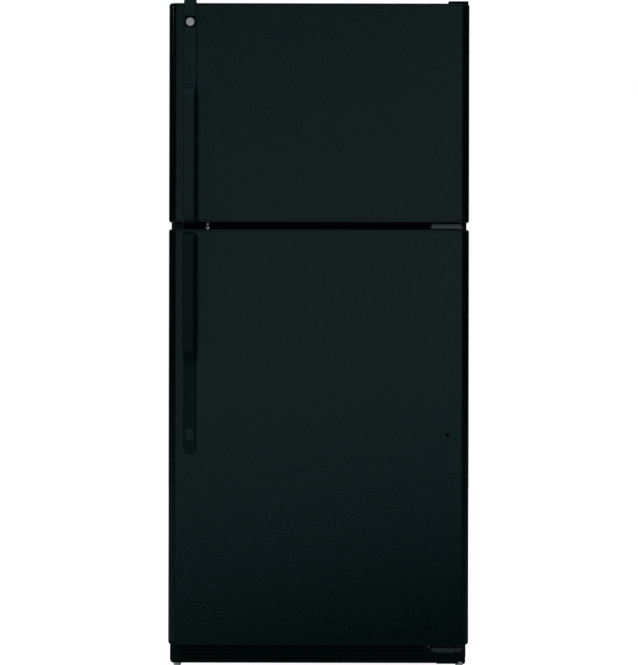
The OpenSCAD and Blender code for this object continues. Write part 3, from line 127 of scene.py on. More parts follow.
def studio_room():
    """White to the camera, soft light on matte surfaces, and a dim room in the enamel's mirror."""
    world = bpy.data.worlds.new("studio_room")
    scene.world = world
    world.use_nodes = True
    tree = world.node_tree
    tree.nodes.clear()
    path, direct = seen_directly(tree)
    room_light = node_of(tree, "ShaderNodeBackground", Color=(1, 1, 1, 1), Strength=room_strength)
    white = node_of(tree, "ShaderNodeBackground", Color=(1, 1, 1, 1), Strength=1.0)
    coords = node_of(tree, "ShaderNodeTexCoord")
    axes = node_of(tree, "ShaderNodeSeparateXYZ")
    tree.links.new(coords.outputs["Generated"], axes.inputs[0])
    ahead = colour_along(tree, axes.outputs["Y"], (
        (-1, (1, 1, 1)), (-0.5, (1, 1, 1)), (-0.3, (0, 0, 0)), (1, (0, 0, 0))))
    steep = colour_along(tree, axes.outputs["Z"], (
        (-1, (1, 1, 1)), (-0.5, (1, 1, 1)), (-0.35, (0, 0, 0)), (0.3, (0, 0, 0)),
        (0.5, (1, 1, 1)), (1, (1, 1, 1))))
    floor_glow = colour_along(tree, axes.outputs["Z"], (
        (-1, (0.34, 0.64, 0.68)), (-0.13, (0.34, 0.64, 0.68)), (-0.06, (0, 0, 0)), (1, (0, 0, 0))))
    floor_sides = colour_along(tree, axes.outputs["X"], (
        (-1, (1, 1, 1)), (-0.34, (1, 1, 1)), (-0.2, (0, 0, 0)), (0.2, (0, 0, 0)),
        (0.4, (0.5, 0.5, 0.5)), (1, (0.5, 0.5, 0.5))))
    across = colour_along(tree, axes.outputs["X"], (
        (-1, side_dark), (-0.27, side_dark), (-0.19, (1, 1, 1)), (0.12, (1, 1, 1)),
        (0.15, (1.3, 1.3, 1.3)), (0.20, (1.3, 1.3, 1.3)), (0.24, side_dark), (1, side_dark)))
    slanted = node_of(tree, "ShaderNodeMath", operation="MULTIPLY_ADD")
    slanted.inputs[1].default_value = pane_slant
    tree.links.new(axes.outputs["X"], slanted.inputs[0])
    tree.links.new(axes.outputs["Z"], slanted.inputs[2])
    level = colour_along(tree, slanted.outputs[0], (
        (-1, (0.3, 0.7, 0.72)), (-0.5, (0.3, 0.7, 0.72)), (-0.35, (0.0, 0.05, 0.05)),
        (-0.24, (0.0, 0.01, 0.01)), (-0.205, (0.0, 0.05, 0.06)),
        (-0.17, (0.10, 0.56, 0.57)), (-0.13, (0.42, 1.0, 1.02)), (-0.07, (0.60, 1.13, 1.16)),
        (0.0, (0.65, 1.17, 1.20)), (0.07, (0.58, 1.06, 1.09)), (0.2, (0.56, 1.08, 1.11)),
        (0.25, (0.25, 0.60, 0.62)), (0.5, (0.4, 0.8, 0.82)), (1, (0.5, 0.95, 1.0))))
    open_ways = blended(tree, "MULTIPLY", blended(tree, "LIGHTEN", ahead, steep), across)
    behind = colour_along(tree, axes.outputs["Y"], (
        (-1, (0, 0, 0)), (0.55, (0, 0, 0)), (0.7, (1.1, 1.15, 1.2)), (1, (1.1, 1.15, 1.2))))
    room = blended(tree, "LIGHTEN", behind, blended(tree, "MULTIPLY", floor_glow, floor_sides))
    mirrored = blended(tree, "LIGHTEN", blended(tree, "MULTIPLY", open_ways, level), room)
    pane = node_of(tree, "ShaderNodeBackground", Strength=pane_strength)
    tree.links.new(mirrored, pane.inputs["Color"])
    glossy = node_of(tree, "ShaderNodeMixShader")
    tree.links.new(path.outputs["Is Glossy Ray"], glossy.inputs["Fac"])
    tree.links.new(room_light.outputs[0], glossy.inputs[1])
    tree.links.new(pane.outputs[0], glossy.inputs[2])
    final = node_of(tree, "ShaderNodeMixShader")
    tree.links.new(direct, final.inputs["Fac"])
    tree.links.new(glossy.outputs[0], final.inputs[1])
    tree.links.new(white.outputs[0], final.inputs[2])
    output = node_of(tree, "ShaderNodeOutputWorld")
    tree.links.new(final.outputs[0], output.inputs["Surface"])


def soft_lamp(name, place, aim, size, watts, mirrored=False, lights=True):
    """A square lamp at a place, aimed at a point."""
    data = bpy.data.lights.new(name, "AREA")
    data.size = size
    data.energy = watts
    lamp = bpy.data.objects.new(name, data)
    lamp.location = place
    lamp.rotation_euler = (Vector(aim) - Vector(place)).to_track_quat("-Z", "Y").to_euler()
    lamp.visible_glossy = mirrored
    lamp.visible_diffuse = lights
    scene.collection.objects.link(lamp)


def floor_plate(name, corners, faces, material):
    """A flat piece of the studio's floor."""
    data = bpy.data.meshes.new(name)
    data.from_pydata([(x, y, 0) for x, y in corners], [], faces)
    data.materials.append(material)
    plate = bpy.data.objects.new(name, data)
    scene.collection.objects.link(plate)


def studio_floor():
    """White to the camera and clear to the enamel's mirror, and a darker matte patch underneath:
    painted shadow.
    """
    material = bpy.data.materials.new("pale_floor")
    material.use_nodes = True
    tree = material.node_tree
    tree.nodes.clear()
    path, direct = seen_directly(tree)
    matte = node_of(tree, "ShaderNodeBsdfDiffuse", Color=(floor_grey, floor_grey, floor_grey, 1))
    glow = node_of(tree, "ShaderNodeEmission", Color=(1, 1, 1, 1))
    strength = node_of(tree, "ShaderNodeMath", operation="MULTIPLY")
    strength.inputs[1].default_value = floor_glow_strength
    tree.links.new(direct, strength.inputs[0])
    tree.links.new(strength.outputs[0], glow.inputs["Strength"])
    both = node_of(tree, "ShaderNodeAddShader")
    tree.links.new(matte.outputs[0], both.inputs[0])
    tree.links.new(glow.outputs[0], both.inputs[1])
    clear = node_of(tree, "ShaderNodeBsdfTransparent")
    shown = node_of(tree, "ShaderNodeMixShader")
    tree.links.new(path.outputs["Is Glossy Ray"], shown.inputs["Fac"])
    tree.links.new(both.outputs[0], shown.inputs[1])
    tree.links.new(clear.outputs[0], shown.inputs[2])
    output = node_of(tree, "ShaderNodeOutputMaterial")
    tree.links.new(shown.outputs[0], output.inputs["Surface"])
    # The patch under the fridge gets no glow and a darker grey than the rest of the floor: painted
    # shadow, added to the real one.
    shaded = bpy.data.materials.new("shaded_floor")
    shaded.use_nodes = True
    shader = shaded.node_tree.nodes["Principled BSDF"]
    shader.inputs["Base Color"].default_value = (0.1, 0.1, 0.1, 1)
    shader.inputs["Roughness"].default_value = 0.9
    low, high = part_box("outer_case")
    inner = [(low.x + shade_inset, low.y + shade_back),
             (high.x - shade_inset, low.y + shade_back),
             (high.x - shade_inset, high.y - shade_inset),
             (low.x + shade_inset, high.y - shade_inset)]
    front = door_front - floor_front
    outer = [(-floor_half, front), (floor_half, front),
             (floor_half, floor_half), (-floor_half, floor_half)]
    ring = [(k, (k + 1) % 4, 4 + (k + 1) % 4, 4 + k) for k in range(4)]
    floor_plate("studio_floor", outer + inner, ring, material)
    floor_plate("floor_in_shadow", inner, [(0, 1, 2, 3)], shaded)


studio_room()
studio_floor()
soft_lamp("left_lamp", (-2.6, -2.9, 2.7), (0, 0, 0.9), 1.2, 42)
soft_lamp("right_lamp", (2.8, -2.6, 2.6), (0, 0, 0.8), 1.4, 28)
soft_lamp("front_lamp", (0, -4.6, 1.15), (0, 0, 1.1), 0.8, 40)
soft_lamp("top_lamp", (0, -0.6, 4.2), (0, 0, 0.8), 2.2, 60)
soft_lamp("edge_lamp", (-2.67, -1.90, 2.46), (-0.37, -0.38, 1.65), 0.3, 1.1,
          mirrored=True, lights=False)

# ---- Outer case ----
# One sheet of pre-painted steel, folded down over the top and both sides, with its front
# edges turned in. The enamel is black with a faint green cast.
case_black = (0.0008, 0.0014, 0.0014)
fold_radius = 0.0012
speck_scale = 210.0
cloud_scale = 9.0
wave_scale = 170.0
weld_distance = 0.00002
flat_angle = math.radians(1)
fold_angle = math.radians(35)
sharp_angle = math.radians(40)


def enamelled_steel(name, colour, roughness, pebble, depth, specular=0.5, waves=0.00001,
                    tips=None):
    """Textured enamel: fine pebbles with paler tips on a slightly wavy, cloudy sheet."""
    material = bpy.data.materials.new(name)
    material.use_nodes = True
    tree = material.node_tree
    shader = tree.nodes["Principled BSDF"]
    shader.inputs["Roughness"].default_value = roughness
    shader.inputs["Specular IOR Level"].default_value = specular
    coords = node_of(tree, "ShaderNodeTexCoord")
    cloud = node_of(tree, "ShaderNodeTexNoise", Scale=cloud_scale, Detail=4.0)
    tone = node_of(tree, "ShaderNodeMix", data_type="RGBA")
    tone.inputs[6].default_value = (*[0.8 * c for c in colour], 1)
    tone.inputs[7].default_value = (*[1.2 * c for c in colour], 1)
    tree.links.new(coords.outputs["Object"], cloud.inputs["Vector"])
    tree.links.new(cloud.outputs["Fac"], tone.inputs[0])
    speck = node_of(tree, "ShaderNodeTexNoise", Scale=speck_scale, Detail=1.0)
    tree.links.new(coords.outputs["Object"], speck.inputs["Vector"])
    contrast = node_of(tree, "ShaderNodeMapRange", From_Min=0.36, From_Max=0.64)
    tree.links.new(speck.outputs["Fac"], contrast.inputs["Value"])
    tipped = node_of(tree, "ShaderNodeMix", data_type="RGBA")
    tree.links.new(contrast.outputs[0], tipped.inputs[0])
    tree.links.new(tone.outputs[2], tipped.inputs[6])
    tipped.inputs[7].default_value = (*(tips or [1.3 * c for c in colour]), 1)
    tree.links.new(tipped.outputs[2], shader.inputs["Base Color"])
    grain = node_of(tree, "ShaderNodeTexVoronoi", Scale=1 / pebble, feature="SMOOTH_F1")
    tree.links.new(coords.outputs["Object"], grain.inputs["Vector"])
    bump = node_of(tree, "ShaderNodeBump", Distance=depth, Strength=1.0)
    tree.links.new(grain.outputs["Distance"], bump.inputs["Height"])
    wave = node_of(tree, "ShaderNodeTexNoise", Scale=wave_scale, Detail=1.0)
    tree.links.new(coords.outputs["Object"], wave.inputs["Vector"])
    sheet = node_of(tree, "ShaderNodeBump", Distance=waves, Strength=1.0)
    tree.links.new(wave.outputs["Fac"], sheet.inputs["Height"])
    tree.links.new(sheet.outputs[0], bump.inputs["Normal"])
    tree.links.new(bump.outputs[0], shader.inputs["Normal"])
    return material


def dress(material, *names):
    """Gives the material to every slot of these pieces."""
    for name in names:
        slots = nodes[name].data.materials
        for i in range(len(slots)):
            slots[i] = material
        if not len(slots):
            slots.append(material)


def softened(node, radius, material, body="cabinet", steps=2):
    """A copy of a piece with its sharp edges rounded off, which stands for the piece."""
    data = nodes[node].data.copy()
    data.transform(nodes[node].matrix_world)
    piece = bpy.data.objects.new("finished_" + node, data)
    scene.collection.objects.link(piece)
    shape = bmesh.new()
    shape.from_mesh(data)
    bmesh.ops.remove_doubles(shape, verts=shape.verts, dist=weld_distance)
    bmesh.ops.dissolve_limit(shape, angle_limit=flat_angle, verts=shape.verts, edges=shape.edges)
    corners = [edge for edge in shape.edges
               if len(edge.link_faces) == 2 and edge.calc_face_angle() > fold_angle]
    bmesh.ops.bevel(shape, geom=corners, offset=radius, segments=steps, profile=0.5, affect="EDGES",
                    clamp_overlap=True)
    bmesh.ops.triangulate(shape, faces=[face for face in shape.faces if len(face.verts) > 4])
    shape.to_mesh(data)
    shape.free()
    data.shade_smooth()
    data.set_sharp_from_angle(angle=sharp_angle)
    data.materials.clear()
    data.materials.append(material)
    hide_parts(node)
    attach(piece, body)
    return piece


case_enamel = enamelled_steel("case_enamel", case_black, 0.42, 0.0012, 0.00012)
softened("outer_case", fold_radius, case_enamel)

# ---- Rear panel and base pan ----
# Bare galvanised sheet with the soft spangle of the zinc, screwed to the case's back and
# folded up at the edges of the base.
zinc_light = (0.62, 0.64, 0.65)
zinc_dark = (0.42, 0.44, 0.45)
zinc_spangle = 0.008
rolled_scale = 700.0
zinc_dulling = 0.07


def sheet_metal(name, light, dark, roughness, spangle, depth=0.00002):
    """Zinc on steel: crystals of slightly different grey, and a faint rolled texture."""
    material = bpy.data.materials.new(name)
    material.use_nodes = True
    tree = material.node_tree
    shader = tree.nodes["Principled BSDF"]
    shader.inputs["Metallic"].default_value = 1.0
    coords = node_of(tree, "ShaderNodeTexCoord")
    crystals = node_of(tree, "ShaderNodeTexVoronoi", Scale=1 / spangle)
    tree.links.new(coords.outputs["Object"], crystals.inputs["Vector"])
    grey = node_of(tree, "ShaderNodeMix", data_type="RGBA")
    grey.inputs[6].default_value = (*dark, 1)
    grey.inputs[7].default_value = (*light, 1)
    tree.links.new(crystals.outputs["Color"], grey.inputs[0])
    tree.links.new(grey.outputs[2], shader.inputs["Base Color"])
    dull = node_of(tree, "ShaderNodeMapRange")
    dull.inputs["To Min"].default_value = roughness - zinc_dulling
    dull.inputs["To Max"].default_value = roughness + zinc_dulling
    tree.links.new(crystals.outputs["Distance"], dull.inputs["Value"])
    tree.links.new(dull.outputs[0], shader.inputs["Roughness"])
    rolled = node_of(tree, "ShaderNodeTexNoise", Scale=rolled_scale, Detail=2.0)
    tree.links.new(coords.outputs["Object"], rolled.inputs["Vector"])
    bump = node_of(tree, "ShaderNodeBump", Distance=depth, Strength=1.0)
    tree.links.new(rolled.outputs["Fac"], bump.inputs["Height"])
    tree.links.new(bump.outputs[0], shader.inputs["Normal"])
    return material


galvanised = sheet_metal("galvanised", zinc_light, zinc_dark, 0.42, zinc_spangle)
dress(galvanised, "rear_panel", "base_pan", "condenser_fan_bracket")

# ---- Foam and liners ----
# Polyurethane foam is blown between the case and the liners, which are white sheet drawn
# over moulds by vacuum, so that every corner is rounded.
liner_corner = 0.0035
mottle_scale = 14.0
plastic_dulling = 0.04


def moulded_plastic(name, colour, roughness, grain=0.0009, depth=0.00003, specular=0.5):
    """Injection moulded plastic: fine spark-eroded grain and slight cloudiness."""
    material = bpy.data.materials.new(name)
    material.use_nodes = True
    tree = material.node_tree
    shader = tree.nodes["Principled BSDF"]
    shader.inputs["Specular IOR Level"].default_value = specular
    coords = node_of(tree, "ShaderNodeTexCoord")
    cloud = node_of(tree, "ShaderNodeTexNoise", Scale=mottle_scale, Detail=3.0)
    tree.links.new(coords.outputs["Object"], cloud.inputs["Vector"])
    tone = node_of(tree, "ShaderNodeMix", data_type="RGBA")
    tone.inputs[6].default_value = (*[0.94 * c for c in colour], 1)
    tone.inputs[7].default_value = (*[min(1.0, 1.05 * c) for c in colour], 1)
    tree.links.new(cloud.outputs["Fac"], tone.inputs[0])
    tree.links.new(tone.outputs[2], shader.inputs["Base Color"])
    dull = node_of(tree, "ShaderNodeMapRange")
    dull.inputs["To Min"].default_value = roughness - plastic_dulling
    dull.inputs["To Max"].default_value = roughness + plastic_dulling
    tree.links.new(cloud.outputs["Fac"], dull.inputs["Value"])
    tree.links.new(dull.outputs[0], shader.inputs["Roughness"])
    fine = node_of(tree, "ShaderNodeTexNoise", Scale=1 / grain, Detail=2.0)
    tree.links.new(coords.outputs["Object"], fine.inputs["Vector"])
    bump = node_of(tree, "ShaderNodeBump", Distance=depth, Strength=1.0)
    tree.links.new(fine.outputs["Fac"], bump.inputs["Height"])
    tree.links.new(bump.outputs[0], shader.inputs["Normal"])
    return material


foam = moulded_plastic("foam", (0.85, 0.72, 0.42), 0.8, 0.002, 0.0004)
dress(foam, "insulation")
liner_white = moulded_plastic("liner_white", (0.80, 0.81, 0.80), 0.32, 0.004, 0.00004)
for liner in ("freezer_liner", "fresh_food_liner"):
    softened(liner, liner_corner, liner_white, steps=3)

# ---- Mullion and door switch ----
# The rail between the two openings is enamelled like the case but coloured darker and duller:
# painted shade for the doors' shadow over it. The lamp's switch is a white plunger in the
# fresh food opening's edge.
rail_black_painted_shade = enamelled_steel("rail_black_painted_shade", (0.0003, 0.0006, 0.0006), 0.6, 0.0012, 0.00004,
                             specular=0.1)
dress(rail_black_painted_shade, "mullion_rail")
white_plastic = moulded_plastic("white_plastic", (0.78, 0.79, 0.78), 0.38)
softened("light_switch", 0.0005, white_plastic, "light_switch")

# ---- Machine bay ----
# The compressor stands on rubber feet beside the coiled condenser, its fan and the tray
# that catches defrost water. A hardboard cover closes the bay at the back.
machine_black = enamelled_steel("machine_black", (0.010, 0.010, 0.010), 0.35, 0.004, 0.00004)
dress(machine_black, "compressor", "condenser_coil")
rubber = moulded_plastic("rubber", (0.018, 0.018, 0.018), 0.7)
dress(rubber, "compressor_mounts")
hardboard = moulded_plastic("hardboard", (0.20, 0.12, 0.065), 0.75, 0.002, 0.0001)
dress(hardboard, "bay_cover")
tray_black = moulded_plastic("tray_black", (0.012, 0.012, 0.012), 0.5)
softened("drain_pan", 0.001, tray_black)
dress(white_plastic, "condenser_fan")

# ---- Evaporator ----
# Aluminium tube and fins behind a white louvred cover at the back of the freezer, with a
# small fan over it.
aluminium = sheet_metal("aluminium", (0.80, 0.81, 0.82), (0.7, 0.71, 0.72), 0.35, 0.004)
dress(aluminium, "evaporator_coil")
dress(tray_black, "evaporator_fan")
softened("evaporator_cover", 0.0008, white_plastic)

# ---- Shelves and crispers ----
# A coated wire shelf in the freezer. Below, tempered glass lies in white moulded frames,
# and two clear drawers hang under the lowest one.
wire_enamel = moulded_plastic("wire_enamel", (0.76, 0.77, 0.76), 0.3)
dress(wire_enamel, "wire_shelf")
softened("shelf_frames", 0.0012, white_plastic)
softened("crisper_frame", 0.0012, white_plastic)


def clear_material(name, colour, roughness):
    """A tinted plastic or glass that light passes through."""
    material = moulded_plastic(name, colour, roughness)
    shader = material.node_tree.nodes["Principled BSDF"]
    shader.inputs["Transmission Weight"].default_value = 1.0
    shader.inputs["IOR"].default_value = 1.49
    return material


shelf_glass = clear_material("shelf_glass", (0.90, 0.97, 0.95), 0.06)
dress(shelf_glass, "shelf_glass")
clear_plastic = clear_material("clear_plastic", (0.94, 0.975, 0.98), 0.1)
for side in ("left", "right"):
    softened("crisper_" + side, 0.0012, clear_plastic, "crisper_" + side)

# ---- Controls ----
# A white moulded housing under the fresh food ceiling carries two turning knobs, one for
# each compartment.
softened("control_housing", 0.0015, white_plastic)
for side in ("left", "right"):
    softened("knob_" + side, 0.0006, white_plastic, "knob_" + side)

# ---- Temperature marks ----
# Grey bars printed on the housing in an arc round each knob. They stand a hair proud of
# its face.
mark_grey = moulded_plastic("mark_grey", (0.10, 0.11, 0.12), 0.5)
mark_count = 9
mark_sweep = 135
mark_length = 0.0045
mark_width = 0.0011
mark_depth = 0.00035
mark_gap = 0.003
for side in ("left", "right"):
    low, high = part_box("knob_" + side)
    centre = (low + high) / 2
    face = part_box("control_housing")[0].y
    reach = (high.x - low.x) / 2 + mark_gap + mark_length / 2
    ring = bmesh.new()
    for k in range(mark_count):
        a = math.radians(-mark_sweep + 2 * mark_sweep * k / (mark_count - 1))
        made = bmesh.ops.create_cube(ring, size=1)["verts"]
        bmesh.ops.scale(ring, vec=(mark_width, mark_depth, mark_length), verts=made)
        bmesh.ops.rotate(ring, cent=(0, 0, 0), matrix=Matrix.Rotation(a, 3, "Y"), verts=made)
        spot = (centre.x + reach * math.sin(a), face - mark_depth / 2,
                centre.z + reach * math.cos(a))
        bmesh.ops.translate(ring, verts=made, vec=spot)
    name = "temperature_marks_" + side
    marks = bpy.data.objects.new(name, bpy.data.meshes.new(name))
    ring.to_mesh(marks.data)
    ring.free()
    scene.collection.objects.link(marks)
    marks.data.materials.append(mark_grey)
    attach(marks, "cabinet")

# ---- Lamp ----
# A bulb in the fresh food compartment, behind a moulded shield. Both are frosted, so that
# the light spreads.
frosted = clear_material("frosted_plastic", (0.93, 0.93, 0.90), 0.4)
dress(frosted, "light_shield", "light_bulb")

# ---- Base: grille, levelling legs and rollers ----
# The black grille clips over the base's front between the feet. Zinc plated legs screw up
# and down at the front, and nylon rollers carry the back.
grille_black = moulded_plastic("grille_black", (0.0003, 0.0046, 0.0051), 0.6, specular=0.1)
softened("base_grille", 0.0006, grille_black, steps=1)
zinc_plate = sheet_metal("zinc_plate", (0.72, 0.73, 0.72), (0.6, 0.61, 0.6), 0.3, 0.002)
softened("foot_brackets", 0.0004, galvanised, steps=1)
leg_metallic = 0.6
leg_zinc = sheet_metal("leg_zinc", (0.86, 0.83, 0.81), (0.70, 0.68, 0.67), 0.35, 0.002)
leg_zinc.node_tree.nodes["Principled BSDF"].inputs["Metallic"].default_value = leg_metallic
dress(leg_zinc, "leg_left", "leg_right")
roller_black = moulded_plastic("roller_black", (0.03, 0.03, 0.03), 0.55)
dress(roller_black, "roller_left", "roller_right")

# ---- Top hinge and screws ----
# A plate of zinc plated steel carries the freezer door's upper pin. Plated screws hold it
# and the other fastened pieces.
softened("top_hinge", 0.0004, zinc_plate, steps=1)
screws = softened("screws", 0.0002, zinc_plate, steps=1)

# ---- Spare hinge plugs ----
# White moulded plugs fill the mullion's spare hinge holes at the handle side, each with a
# shallow recess in the middle coloured dark as painted shade. They take the place of the
# plain screw heads there.
spare_in = 0.092
spare_plugs = {"upper": (0.0122, 0.0046), "lower": (-0.0002, 0.0039)}
cleared_half = (0.012, 0.02, 0.02)
plug_recess = 0.0004
plug_crown = 0.0018
plug_white = moulded_plastic("plug_white", (0.90, 0.91, 0.91), 0.35)
# The plug's recess gets this dark colour: painted shade in the hole.
plug_recess_painted_shade = moulded_plastic("plug_recess_painted_shade", (0.05, 0.055, 0.055), 0.5)


def without(piece, low, high):
    """Takes away whatever of a piece lies inside a box."""
    shape = bmesh.new()
    shape.from_mesh(piece.data)
    inside = [v for v in shape.verts if all(low[k] < v.co[k] < high[k] for k in range(3))]
    bmesh.ops.delete(shape, geom=inside, context="VERTS")
    shape.to_mesh(piece.data)
    shape.free()


def turned(name, profile, centre, materials, body="cabinet"):
    """A round piece that faces the front, from (radius, height, material) round its section."""
    turns = 40
    points = []
    faces = []
    count = len(profile)
    for i in range(turns):
        a = 2 * math.pi * i / turns
        points += [(centre[0] + radius * math.cos(a), centre[1] - out,
                    centre[2] + radius * math.sin(a))
                   for radius, out, _ in profile]
    for i in range(turns):
        m = (i + 1) % turns
        for k in range(count - 1):
            faces.append((i * count + k, i * count + k + 1, m * count + k + 1, m * count + k))
    data = bpy.data.meshes.new(name)
    data.from_pydata(points, [], faces)
    data.update()
    for material in materials:
        data.materials.append(material)
    for number, polygon in enumerate(data.polygons):
        polygon.material_index = profile[number % (count - 1)][2]
    shape = bmesh.new()
    shape.from_mesh(data)
    bmesh.ops.remove_doubles(shape, verts=shape.verts, dist=0.000001)
    bmesh.ops.recalc_face_normals(shape, faces=shape.faces)
    shape.to_mesh(data)
    shape.free()
    data.shade_smooth()
    data.set_sharp_from_angle(angle=sharp_angle)
    piece = bpy.data.objects.new(name, data)
    scene.collection.objects.link(piece)
    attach(piece, body)
    return piece


spare_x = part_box("outer_case")[0].x + spare_in
gap_middle = (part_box("fresh_door_caps")[1].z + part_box("freezer_door_caps")[0].z) / 2
rail_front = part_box("mullion_rail")[0].y
spare_place = (spare_x, rail_front, gap_middle)
cleared_low = [at - half for at, half in zip(spare_place, cleared_half)]
cleared_high = [at + half for at, half in zip(spare_place, cleared_half)]
without(screws, cleared_low, cleared_high)
for name, (rise, radius) in spare_plugs.items():
    section = [(0, plug_recess, 1), (radius * 0.42, plug_recess, 1), (radius * 0.48, 0.0013, 0),
               (radius * 0.62, plug_crown, 0), (radius * 0.85, 0.0016, 0),
               (radius, plug_recess, 0), (radius, 0, 0), (0, 0, 0)]
    turned("spare_hole_plug_" + name, section, (spare_x, rail_front, gap_middle + rise),
           (plug_white, plug_recess_painted_shade))

# ---- Hinge cover, lower hinges and washers ----
# A moulded cover hides the top hinge. The centre and bottom hinges are steel plates,
# enamelled dark, and nylon washers and bushings carry the doors on their pins.
cover_black = moulded_plastic("cover_black", (0.0004, 0.0008, 0.0008), 0.55, specular=0.12)
softened("top_hinge_cover", 0.0012, cover_black)
hinge_enamel = enamelled_steel("hinge_enamel", (0.034, 0.046, 0.047), 0.4, 0.002, 0.00003)
softened("center_hinge", 0.0005, hinge_enamel)
lower_enamel = enamelled_steel("lower_enamel", (0.009, 0.015, 0.015), 0.45, 0.002, 0.00003)
softened("bottom_hinge", 0.0005, lower_enamel)
nylon = moulded_plastic("nylon", (0.006, 0.006, 0.006), 0.5)
dress(nylon, "hinge_washers", "freezer_door_bushings", "fresh_door_bushings")

# ---- Doors ----
# Each door is one skin of pebbled enamelled steel with rounded sides, closed by moulded
# caps above and below, filled with foam behind a white liner that has its own bins.
door_black = (0.0, 0.0001, 0.0001)
pebble_tips = (0.0009, 0.0029, 0.0031)
pebble_size = 0.0024
pebble_depth = 0.00011
wave_depth = 0.00014
door_enamel = enamelled_steel("door_enamel", door_black, 0.16, pebble_size, pebble_depth,
                              waves=wave_depth, tips=pebble_tips)
dress(door_enamel, "freezer_door_skin", "fresh_door_skin")
cap_black = moulded_plastic("cap_black", (0.0002, 0.0010, 0.0010), 0.2)
seal_black = moulded_plastic("seal_black", (0.010, 0.010, 0.010), 0.6)
doors = {"freezer_door": "freezer_door", "fresh_door": "fresh_food_door"}
for name, body in doors.items():
    softened(name + "_caps", 0.0006, cap_black, body, steps=1)
    softened(name + "_liner", liner_corner, liner_white, body, steps=3)
    softened(name + "_gasket", 0.001, seal_black, body)
    softened(name + "_bins", 0.0008, clear_plastic, body)
    dress(foam, name + "_foam")
softened("dairy_lid", 0.0008, clear_plastic, "dairy_lid")

# ---- Handles ----
# Each handle is one moulding: a flat pad screwed to the door, a saddle that lifts off
# it, a thick grip, and a leg that turns back to the door.
pad_thickness = 0.008
grip_thickness = 0.016
saddle_length = 0.042
corner_radius = 0.016
edge_radius = 0.0035
grip_rounding = 1.6
freezer_pad_length = 0.202
fresh_pad_length = 0.224
freezer_leg_rake = 0.008
corner_share = 0.9
end_steps = 18
saddle_steps = 32
bend_steps = 24
# The two handles are one plastic in two colours, set to how each is lit: lighter on the upper
# handle, painted light, and darker on the lower, painted shade.
handle_plastic = moulded_plastic("handle_plastic", (0.0028, 0.0078, 0.0084), 0.4, specular=0.27)
lower_handle_painted_shade = moulded_plastic("lower_handle_painted_shade", (0.0006, 0.0042, 0.0046), 0.4,
                                       specular=0.25)


def eased(t):
    """Nought to one with a level start and end."""
    t = min(1.0, max(0.0, t))
    return t * t * (3 - 2 * t)


def handle_ring(stand_off, along, turn, half_width, half_thick, radius):
    """One section across the handle: a rounded rectangle, turned by the bend's angle."""
    ring = []
    steps = 6
    for quarter in range(4):
        cx = (half_width - radius) * (1 if quarter in (0, 3) else -1)
        cy = (half_thick - radius) * (1 if quarter < 2 else -1)
        for k in range(steps + 1):
            a = math.radians(90 * quarter + 90 * k / steps)
            x = cx + radius * math.cos(a)
            y = cy + radius * math.sin(a)
            ring.append((x, -stand_off - y * math.cos(turn), along + y * math.sin(turn)))
    return ring


def skin_rings(name, rings):
    """A smooth-shaded, closed mesh over a row of rings with equal numbers of points."""
    count = len(rings[0])
    points = [p for ring in rings for p in ring]
    faces = []
    for i in range(len(rings) - 1):
        for k in range(count):
            m = (k + 1) % count
            faces.append((i * count + k, (i + 1) * count + k, (i + 1) * count + m, i * count + m))
    faces.append(tuple(range(count)))
    faces.append(tuple((len(rings) - 1) * count + k for k in reversed(range(count))))
    data = bpy.data.meshes.new(name)
    data.from_pydata(points, [], faces)
    data.update()
    piece = bpy.data.objects.new(name, data)
    scene.collection.objects.link(piece)
    for polygon in data.polygons:
        polygon.use_smooth = len(polygon.vertices) == 4
    return piece


def grip_handle(name, node, material, pad_length, rake, round_end, hangs):
    """A handle from the pad's end to the leg, in its node's box. One that hangs is turned over."""
    low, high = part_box(node)
    length = high.z - low.z
    stand_off = high.y - low.y
    half_width = (high.x - low.x) / 2
    grip_out = stand_off - grip_thickness / 2
    end = length - grip_thickness / 2
    half_pad = pad_thickness / 2
    rings = []
    if round_end:
        for k in range(1, end_steps + 1):
            a = math.radians(90 * k / end_steps)
            along = half_width * (1 - math.cos(a))
            wide = half_width * math.sin(a)
            rings.append(handle_ring(half_pad, along, 0, wide, half_pad,
                                     min(edge_radius, wide * corner_share)))
    else:
        for along, inset in ((0, 0.004), (0.001, 0.0022), (0.0025, 0.0009), (0.005, 0)):
            thick = half_pad - inset / 2
            rings.append(handle_ring(half_pad, along, 0, half_width - inset / 2, thick,
                                     min(edge_radius, thick) * corner_share))
    for i in range(saddle_steps + 1):
        t = i / saddle_steps
        s = eased(t)
        rings.append(handle_ring(half_pad + (grip_out - half_pad) * s,
                                 pad_length + saddle_length * t, 0, half_width,
                                 (pad_thickness + (grip_thickness - pad_thickness) * s) / 2,
                                 edge_radius * (1 + (grip_rounding - 1) * s)))
    for i in range(bend_steps + 1):
        a = math.radians(90 * i / bend_steps)
        rings.append(handle_ring(grip_out - corner_radius + corner_radius * math.cos(a),
                                 end - corner_radius + corner_radius * math.sin(a), a, half_width,
                                 grip_thickness / 2, edge_radius * grip_rounding))
    rings.append(handle_ring(0, end - rake, math.radians(90), half_width,
                             grip_thickness / 2, edge_radius * grip_rounding))
    if hangs:
        rings = [[(-x, y, length - z) for x, y, z in ring] for ring in rings]
    piece = skin_rings(name, rings)
    piece.location = ((low.x + high.x) / 2, high.y, low.z)
    piece.data.materials.append(material)
    return piece


freezer_handle = grip_handle("freezer_handle", "freezer_door_handle", handle_plastic,
                             freezer_pad_length, freezer_leg_rake, False, True)
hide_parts("freezer_door_handle")
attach(freezer_handle, "freezer_door")
fresh_handle = grip_handle("fresh_food_handle", "fresh_door_handle", lower_handle_painted_shade,
                           fresh_pad_length, 0, True, False)
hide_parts("fresh_door_handle")
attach(fresh_handle, "fresh_food_door")
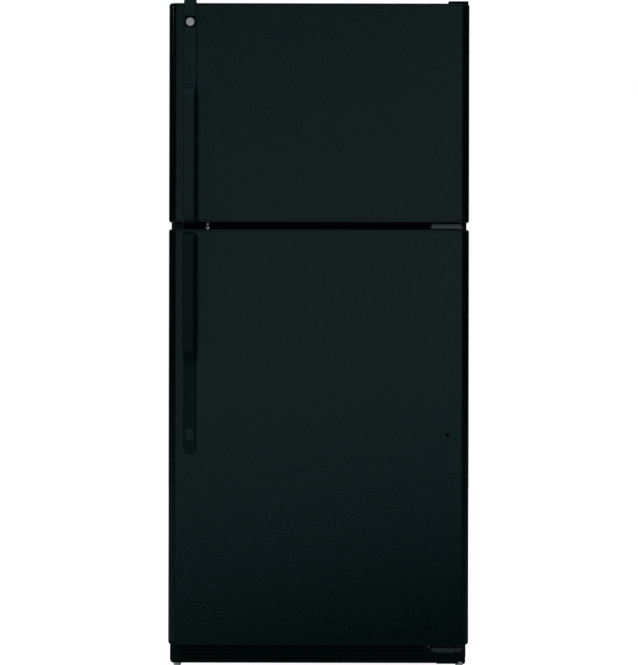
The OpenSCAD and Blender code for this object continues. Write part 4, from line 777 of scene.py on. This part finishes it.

# ---- Badge ----
# A plain disc of satin metal on the freezer handle, near its top, over a thin black tile
# with rounded corners: a painted shadow of a recess round the disc.
badge_metallic = 0.35
badge_metal = sheet_metal("badge_metal", (0.30, 0.305, 0.31), (0.24, 0.245, 0.25), 0.42, 0.003)
badge_metal.node_tree.nodes["Principled BSDF"].inputs["Metallic"].default_value = badge_metallic
dress(badge_metal, "handle_badge")
badge_recess_painted_shadow = moulded_plastic("badge_recess_painted_shadow", (0.0004, 0.0006, 0.0006), 0.5, specular=0.1)
# The tile is set a little high (tile_rise), so that more of its painted shadow shows above the disc
# than below.
tile_height = 0.0285
tile_width = 0.0262
tile_thick = 0.0004
tile_corner = 0.0022
tile_edge = 0.00015
tile_rise = 0.0012
badge_low, badge_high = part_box("handle_badge")
tile = bpy.data.objects.new("badge_shadow_tile", bpy.data.meshes.new("badge_shadow_tile"))
scene.collection.objects.link(tile)
shape = bmesh.new()
bmesh.ops.create_cube(shape, size=1)
bmesh.ops.scale(shape, vec=(tile_width, tile_thick, tile_height), verts=shape.verts)
through = [edge for edge in shape.edges
           if abs(edge.verts[0].co.y - edge.verts[1].co.y) > tile_thick / 2]
bmesh.ops.bevel(shape, geom=through, offset=tile_corner, segments=5, profile=0.5, affect="EDGES")
front_edges = [edge for edge in shape.edges if all(vert.co.y < 0 for vert in edge.verts)]
bmesh.ops.bevel(shape, geom=front_edges, offset=tile_edge, segments=2, profile=0.5, affect="EDGES")
tile_place = ((badge_low.x + badge_high.x) / 2, badge_high.y - tile_thick / 2,
              (badge_low.z + badge_high.z) / 2 + tile_rise)
bmesh.ops.translate(shape, vec=tile_place, verts=shape.verts)
shape.to_mesh(tile.data)
shape.free()
tile.data.materials.append(badge_recess_painted_shadow)
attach(tile, "freezer_door")

# ---- Screw cap and spare plug ----
# A small cap hides the fresh food handle's lower screw, and a plug fills the spare screw
# hole at the door's other side.
cap_plastic = moulded_plastic("cap_plastic", (0.0045, 0.0105, 0.0112), 0.4, specular=0.3)
plug_black = moulded_plastic("plug_black", (0.0006, 0.0008, 0.0008), 0.5, specular=0.15)
caps = softened("screw_cap_and_plug", 0.0004, cap_plastic, "fresh_food_door")
caps.data.materials.append(plug_black)
for polygon in caps.data.polygons:
    polygon.material_index = 1 if polygon.center.x > 0 else 0
